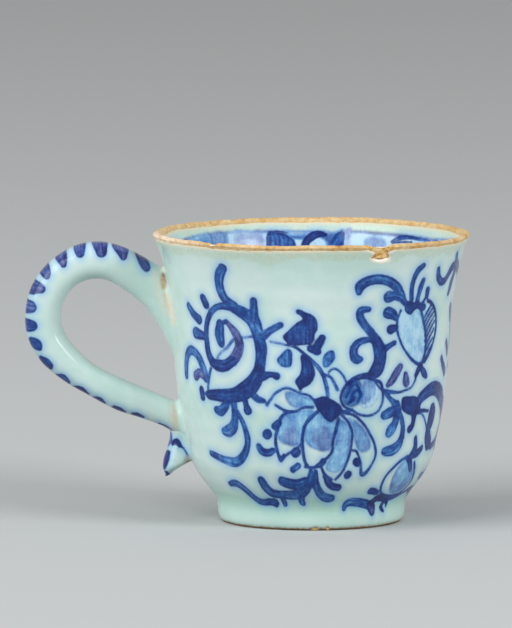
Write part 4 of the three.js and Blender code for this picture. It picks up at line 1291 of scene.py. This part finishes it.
def make_cup_wall(material):
    """The wall of clay under both coats: only its lip and its chips show, so its rows are dense there."""
    turns = turns_of(LIP_COLUMNS)
    coat = GLAZE + SEAM
    outer = outside_line[outside_line[:, 1] <= OUTSIDE_CLAY_TOP]
    inner = inside_line[inside_line[:, 1] <= INSIDE_CLAY_TOP]
    outer = parted(outer + coat * normals_of(outer), LIP_ZONE, (12, 26))
    inner = parted(inner + coat * normals_of(inner), LIP_ZONE, (26, 14))
    lip = even(spread_line(LIP_OUTLINE, 10), LIP_ROWS)
    line = np.vstack([FLOOR_UNDER_WALL, outer, lip, inner])
    points = ring_points(line, turns)
    outward = straight_out(turns)
    height = points[..., 2]
    rows = np.arange(len(line))[:, None]
    first_lip = len(FLOOR_UNDER_WALL) + len(outer)
    outer_half = rows < first_lip + LIP_ROWS // 2
    over_outside = ease(-0.5, 0.05, height - ragged_edge(turns, *OUTSIDE_EDGE)) * (rows < first_lip)
    over_inside = ease(-0.5, 0.05, height - ragged_edge(turns, *INSIDE_EDGE)) * (rows >= first_lip + LIP_ROWS)
    bulge = coat * 0.97 * (over_outside - over_inside)
    rough = unevenness(points, LIP_ROUGHNESS) * ease(67.4, 68.6, height)
    points = points + outward * (bulge + rough * np.where(outer_half, 1, -1))[..., None]
    points[..., 2] += unevenness(points, LIP_UNEVENNESS) * ease(68.8, 69.6, height)
    broken = np.zeros(height.shape)
    for spec in LIP_SCOOPS:
        points, hit = scoop(points, *spec)
        broken = np.maximum(broken, hit)
    points = points + outward * (broken * unevenness(points, BROKEN_ROUGHNESS))[..., None]
    obj = grid_mesh("cup_wall_clay", thrown(points))
    deep = Painting(arcs_of(turns, len(line)), height, TURN).depth(FLAKE)
    in_flake = ease(-0.1, 0.2, deep) * outer_half
    # A painted highlight on the top of the lip, on its left side towards the lamp
    left = ease(0.6, 1.2, -turns) * ease(-1.9, -1.4, turns)
    give(obj, "broken", np.maximum(broken, in_flake))
    # Darker along the lower edge of the flake
    give(obj, "dark_edge", 0.85 * in_flake * ease(0.75, 0.2, deep) * ease(67.7, 66.8, height))
    give(obj, "pale", left * ease(68, 69, height))
    finish_piece(obj, material, "bare_clay", "cup_wall")


def foot_bare(arc, height, lowest):
    """How far the foot's clay shows above the coat's lower edge at each place."""
    bare = lowest - height
    for middle, level, half_width, half_height in FOOT_FLAKES:
        away = (arc - middle + TURN / 2) % TURN - TURN / 2
        inside = 1 - np.hypot(away / half_width, (height - level) / half_height)
        bare = np.maximum(bare, inside * half_height)
    return bare


def make_foot_glaze(material):
    turns = turns_of(FOOT_COLUMNS)
    front = ring_points(even(spread_line(np.array(FOOT_COAT) + (FOOT_RADIUS, 0), 12), 56), turns)
    outward = straight_out(turns)
    arc = arcs_of(turns, len(front))
    bare = foot_bare(arc, front[..., 2], ragged_edge(turns, *FOOT_EDGE))
    painting = paint_wall(arc, front[..., 2])
    front = front - outward * (0.5 * ease(-0.02, 0.2, bare) + 0.1 * ease(-0.4, 0, bare))[..., None]
    obj = grid_mesh("foot_glaze_skin", with_back(front, outward), True)
    give_painting(obj, painting, BACK_ROWS)
    give_with_back(obj, "bare_edge", bare, -FAR)
    finish_piece(obj, material, "plain_glaze", "foot_glaze")


def make_foot_ring(material):
    turns = turns_of(FOOT_COLUMNS)[::-1]
    bore_side = np.array(FOOT_BORE_SIDE) + (FOOT_BORE_RADIUS, 0)
    outer_side = np.array(FOOT_OUTER_SIDE) + (FOOT_RADIUS, 0)
    line = even(spread_line(np.vstack([bore_side, outer_side]), 10), 54)
    line[:, 1] = np.maximum(line[:, 1], 0)
    points = ring_points(line, turns)
    height = points[..., 2]
    rough = unevenness(points, FOOT_ROUGHNESS) * ease(2.4, 1.2, height)
    obj = grid_mesh("foot_ring_clay", points + straight_out(turns) * rough[..., None], True)
    flakes = foot_bare(turns * UNROLL_RADIUS, height, -1)
    give(obj, "broken", 0)
    # Darker round the very base of the foot, except where it has flaked
    give(obj, "dark_edge", 0.9 * ease(0.9, 0.35, height) * ease(0.1, -0.1, flakes))
    give(obj, "pale", 0)
    finish_piece(obj, material, "bare_clay", "foot_ring")


def make_underside_glaze(material):
    turns = turns_of(UNDERSIDE_COLUMNS)[::-1]
    bore = FOOT_BORE_RADIUS
    wall = bore + GLAZE
    top = FLOOR_UNDERSIDE + GLAZE
    back = np.array([(0.05, top), (wall, top), (wall, 1.2), (wall - 0.1, 0.95)])
    front = [
        (bore + 0.1, 0.95), (bore, 1.3), (bore, 2.4), (bore - 0.15, 3.4), (bore - 0.6, 3.95),
        (bore - 1.4, FLOOR_UNDERSIDE), (9, FLOOR_UNDERSIDE), (0.05, FLOOR_UNDERSIDE),
    ]
    points = ring_points(np.vstack([even(back, 12), even(spread_line(front, 8), 40)]), turns)
    floor = (points[..., 2] > 4.1) & (points[..., 2] < 4.4)
    points[..., 2] += unevenness(points, UNDERSIDE_UNEVENNESS) * floor
    obj = grid_mesh("underside_glaze_skin", points)
    give(obj, "bare_edge", 1.1 - points[..., 2])
    give(obj, "ink_away", FAR)
    finish_piece(obj, material, "plain_glaze", "underside_glaze")


def rail_curve(points, stations):
    """A curve through points as the CAD model's is: even in its parameter, with centripetal tangents."""
    rows = np.array(points, dtype=float)
    ends = np.vstack([2 * rows[0] - rows[1], rows, 2 * rows[-1] - rows[-2]])
    place = np.linspace(0, len(rows) - 1, stations)
    part = np.minimum(place.astype(int), len(rows) - 2)
    t = (place - part)[:, None]
    p0, p1, p2, p3 = (ends[part + k] for k in range(4))
    pairs = ((p0, p1), (p1, p2), (p2, p3))
    gap0, gap1, gap2 = (np.linalg.norm(b - a, axis=1)[:, None] ** 0.5 for a, b in pairs)
    start = ((p1 - p0) / gap0 - (p2 - p0) / (gap0 + gap1) + (p2 - p1) / gap1) * gap1
    end = ((p2 - p1) / gap1 - (p3 - p1) / (gap1 + gap2) + (p3 - p2) / gap2) * gap1
    bend = (3 * (p2 - p1) - 2 * start - end) * t ** 2
    return p1 + start * t + bend + (2 * (p1 - p2) + start + end) * t ** 3


def tube(rails, stations, sides):
    """The rings of the handle's strap or tail, and the middle of each ring."""
    rails = np.array(rails)
    outer = rail_curve(rails[:, 0:2], stations)
    inner = rail_curve(rails[:, 2:4], stations)
    last = len(rails) - 1
    widths = spread_line(rails[:, 4:5], 20)[:, 0]
    widths = np.interp(np.linspace(0, last, stations), np.linspace(0, last, len(widths)), widths)[:, None]
    middle = (outer + inner) / 2
    across = outer - middle
    reach = np.linalg.norm(across, axis=1)[:, None]
    angle = -np.arange(sides) / sides * 2 * math.pi
    circle = (np.cos(angle), np.sin(angle))
    cosine, sine = (np.sign(part) * np.abs(part) ** (2 / SECTION_SQUARENESS) for part in circle)
    x, z = (middle[:, k][:, None] + across[:, k][:, None] / reach * (reach * cosine) for k in (0, 1))
    centre = np.stack([middle[:, 0], np.zeros(stations), middle[:, 1]], axis=1)
    return np.stack([x, widths / 2 * sine, z], axis=-1), centre


def unit(vectors, least=0.0):
    """The vectors at length 1. Shorter ones than least stay shorter."""
    return vectors / np.maximum(np.linalg.norm(vectors, axis=-1, keepdims=True), least)


def above_wall(points):
    """How far points stand out of the glazed wall."""
    return np.hypot(points[..., 0], points[..., 1]) - outside_radius(points[..., 2])


def run_into_wall(points, centre):
    """Flares a tube where it meets the wall, and keeps what lies in the wall just under its skin."""
    height = above_wall(points)
    radial = unit(points * np.array([1, 1, 0]))
    away = points - centre[:, None, :]
    away = unit(away - radial * (away * radial).sum(axis=-1, keepdims=True), 1e-6)
    inner = np.clip((JOIN_FILLET - np.clip(height, 0, None)) / JOIN_FILLET, 0, 1)
    flare = JOIN_FILLET * (1 - np.sqrt(1 - inner ** 2))
    crowd = 1 - ease(0, 2.5, -height)
    moved = points + away * (flare * crowd)[..., None]
    spread = np.hypot(moved[..., 0], moved[..., 1])
    wanted = outside_radius(moved[..., 2]) + np.maximum(height, -JOIN_DEPTH)
    moved[..., :2] *= (np.where(height < JOIN_FILLET, wanted, spread) / spread)[..., None]
    return moved


def finish_handle_coat(name, points, painting, material, node):
    obj = grid_mesh(name, points)
    give_painting(obj, painting)
    give(obj, "bare_edge", -FAR)
    give(obj, "chip_edge", -FAR)
    give(obj, "under_chip", -1)
    give_stains_and_sheen(obj, points)
    finish_piece(obj, material, "painted_glaze", node)


def make_handle_glaze(material):
    points, centre = tube(STRAP_RAILS, STRAP_STATIONS, STRAP_SIDES)
    wave = unevenness(points, HANDLE_UNEVENNESS)
    points = points + unit(points - centre[:, None, :]) * wave[..., None]
    painting = paint_side(points, HANDLE_DASHES)
    points = run_into_wall(points, centre)
    finish_handle_coat("handle_glaze_skin", points, painting, material, "handle_glaze")


def make_tail_glaze(material):
    flat, centre = tube(TAIL_RAILS, TAIL_STATIONS, TAIL_SIDES)
    points = run_into_wall(flat, centre)
    tip = centre[-1]
    way = unit(tip - centre[-2])
    cap = []
    for angle in np.linspace(0, math.pi / 2, 12)[1:]:
        cap.append(tip + (points[-1] - tip) * max(math.cos(angle), 0.02) + way * 0.9 * math.sin(angle))
    painting = paint_side(np.concatenate([flat, cap]), TAIL_MARKS)
    finish_handle_coat("tail_glaze_skin", np.concatenate([points, cap]), painting, material, "tail_glaze")


def bead(points, centre, bulge):
    """A bead of slip round a tube whose first ring is in the wall, where the tube comes out of it."""
    half = len(points) // 2
    rises = np.maximum.accumulate(above_wall(points)[:half], axis=0)
    rings = []
    for level, swell in BEAD_RINGS:
        ring = []
        for k in range(points.shape[1]):
            place = np.interp(level, rises[:, k], np.arange(half))
            low = int(place)
            spot = points[low, k] + (points[min(low + 1, half - 1), k] - points[low, k]) * (place - low)
            ring.append(spot + unit(spot - centre[low]) * bulge * swell)
        rings.append(ring)
    return np.array(rings)


def make_slips(material):
    strap, centre = tube(STRAP_RAILS, STRAP_STATIONS, SLIP_SIDES)
    upper = grid_mesh("upper_slip_bead", bead(strap, centre, 0.2))
    finish_piece(upper, material, "joining_slip", "upper_handle_slip")
    lower = grid_mesh("lower_slip_bead", bead(strap[::-1], centre[::-1], 0.4)[:, ::-1])
    finish_piece(lower, material, "joining_slip", "lower_handle_slip")


def finish_hidden_clay(material):
    """The strap and the tail of bare clay stay as the CAD has them, inside their coats."""
    for name in ("handle_strap", "handle_tail"):
        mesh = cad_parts[name].data
        mesh.materials.clear()
        mesh.materials.append(material)


def make_floor():
    """A plain floor. It lights the cup from below a little less than it looks."""
    mesh = bpy.data.meshes.new("floor")
    half = FLOOR_HALF_METRES
    corners = [(-half, -half, 0), (half, -half, 0), (half, half, 0), (-half, half, 0)]
    mesh.from_pydata(corners, [], [(0, 1, 2, 3)])
    floor = bpy.data.objects.new("floor", mesh)
    bpy.context.scene.collection.objects.link(floor)
    nodes = Nodes("floor")
    path = nodes.add("ShaderNodeLightPath")
    seen = nodes.plus(path.outputs["Is Camera Ray"], path.outputs["Is Glossy Ray"])
    seen = nodes.plus(seen, path.outputs["Is Transmission Ray"], clamp=True)
    shown = nodes.add("ShaderNodeBsdfDiffuse", {"Color": screen(FLOOR_SHOWN)})
    lit = nodes.add("ShaderNodeBsdfDiffuse", {"Color": screen(FLOOR_LIT)})
    mixed = nodes.add("ShaderNodeMixShader", {0: seen, 1: lit.outputs[0], 2: shown.outputs[0]})
    nodes.add("ShaderNodeOutputMaterial", {0: mixed.outputs[0]})
    mesh.materials.append(nodes.material)


def place_and_aim(name, data, place, target):
    """Puts a lamp or a camera in the scene, looking at a target."""
    obj = bpy.data.objects.new(name, data)
    way = np.array(target, dtype=float) - np.array(place, dtype=float)
    obj.location = [value * MM for value in place]
    obj.rotation_euler = (math.atan2(math.hypot(way[0], way[1]), -way[2]), 0, math.atan2(-way[0], way[1]))
    bpy.context.scene.collection.objects.link(obj)
    return obj


def make_light():
    for name, (place, width, power) in LAMPS.items():
        lamp = bpy.data.lights.new(name, "AREA")
        lamp.shape = "SQUARE"
        lamp.size = width * MM
        lamp.energy = power
        place_and_aim(name, lamp, place, LAMP_AIM)
    world = bpy.data.worlds.new("world")
    world.use_nodes = True
    background = world.node_tree.nodes["Background"]
    background.inputs["Color"].default_value = (1, 1, 1, 1)
    background.inputs["Strength"].default_value = SKY_STRENGTH
    bpy.context.scene.world = world


def make_camera():
    camera = bpy.data.cameras.new("camera")
    camera.sensor_fit = "HORIZONTAL"
    camera.sensor_width = SENSOR
    camera.lens = FOCAL_PIXELS * SENSOR / IMAGE_WIDTH
    camera.clip_end = 200
    bpy.context.scene.camera = place_and_aim("camera", camera, CAMERA_PLACE, CAMERA_AIM)


make_camera()
bpy.context.scene.view_settings.view_transform = "Standard"
make_light()
make_floor()

painted = painted_glaze()
plain = plain_glaze()
clay = bare_clay()
slip = joining_slip()

make_outside_glaze(painted)
make_inside_glaze(painted)
make_handle_glaze(painted)
make_tail_glaze(painted)
make_foot_glaze(plain)
make_underside_glaze(plain)
make_cup_wall(clay)
make_foot_ring(clay)
make_slips(slip)
finish_hidden_clay(clay)
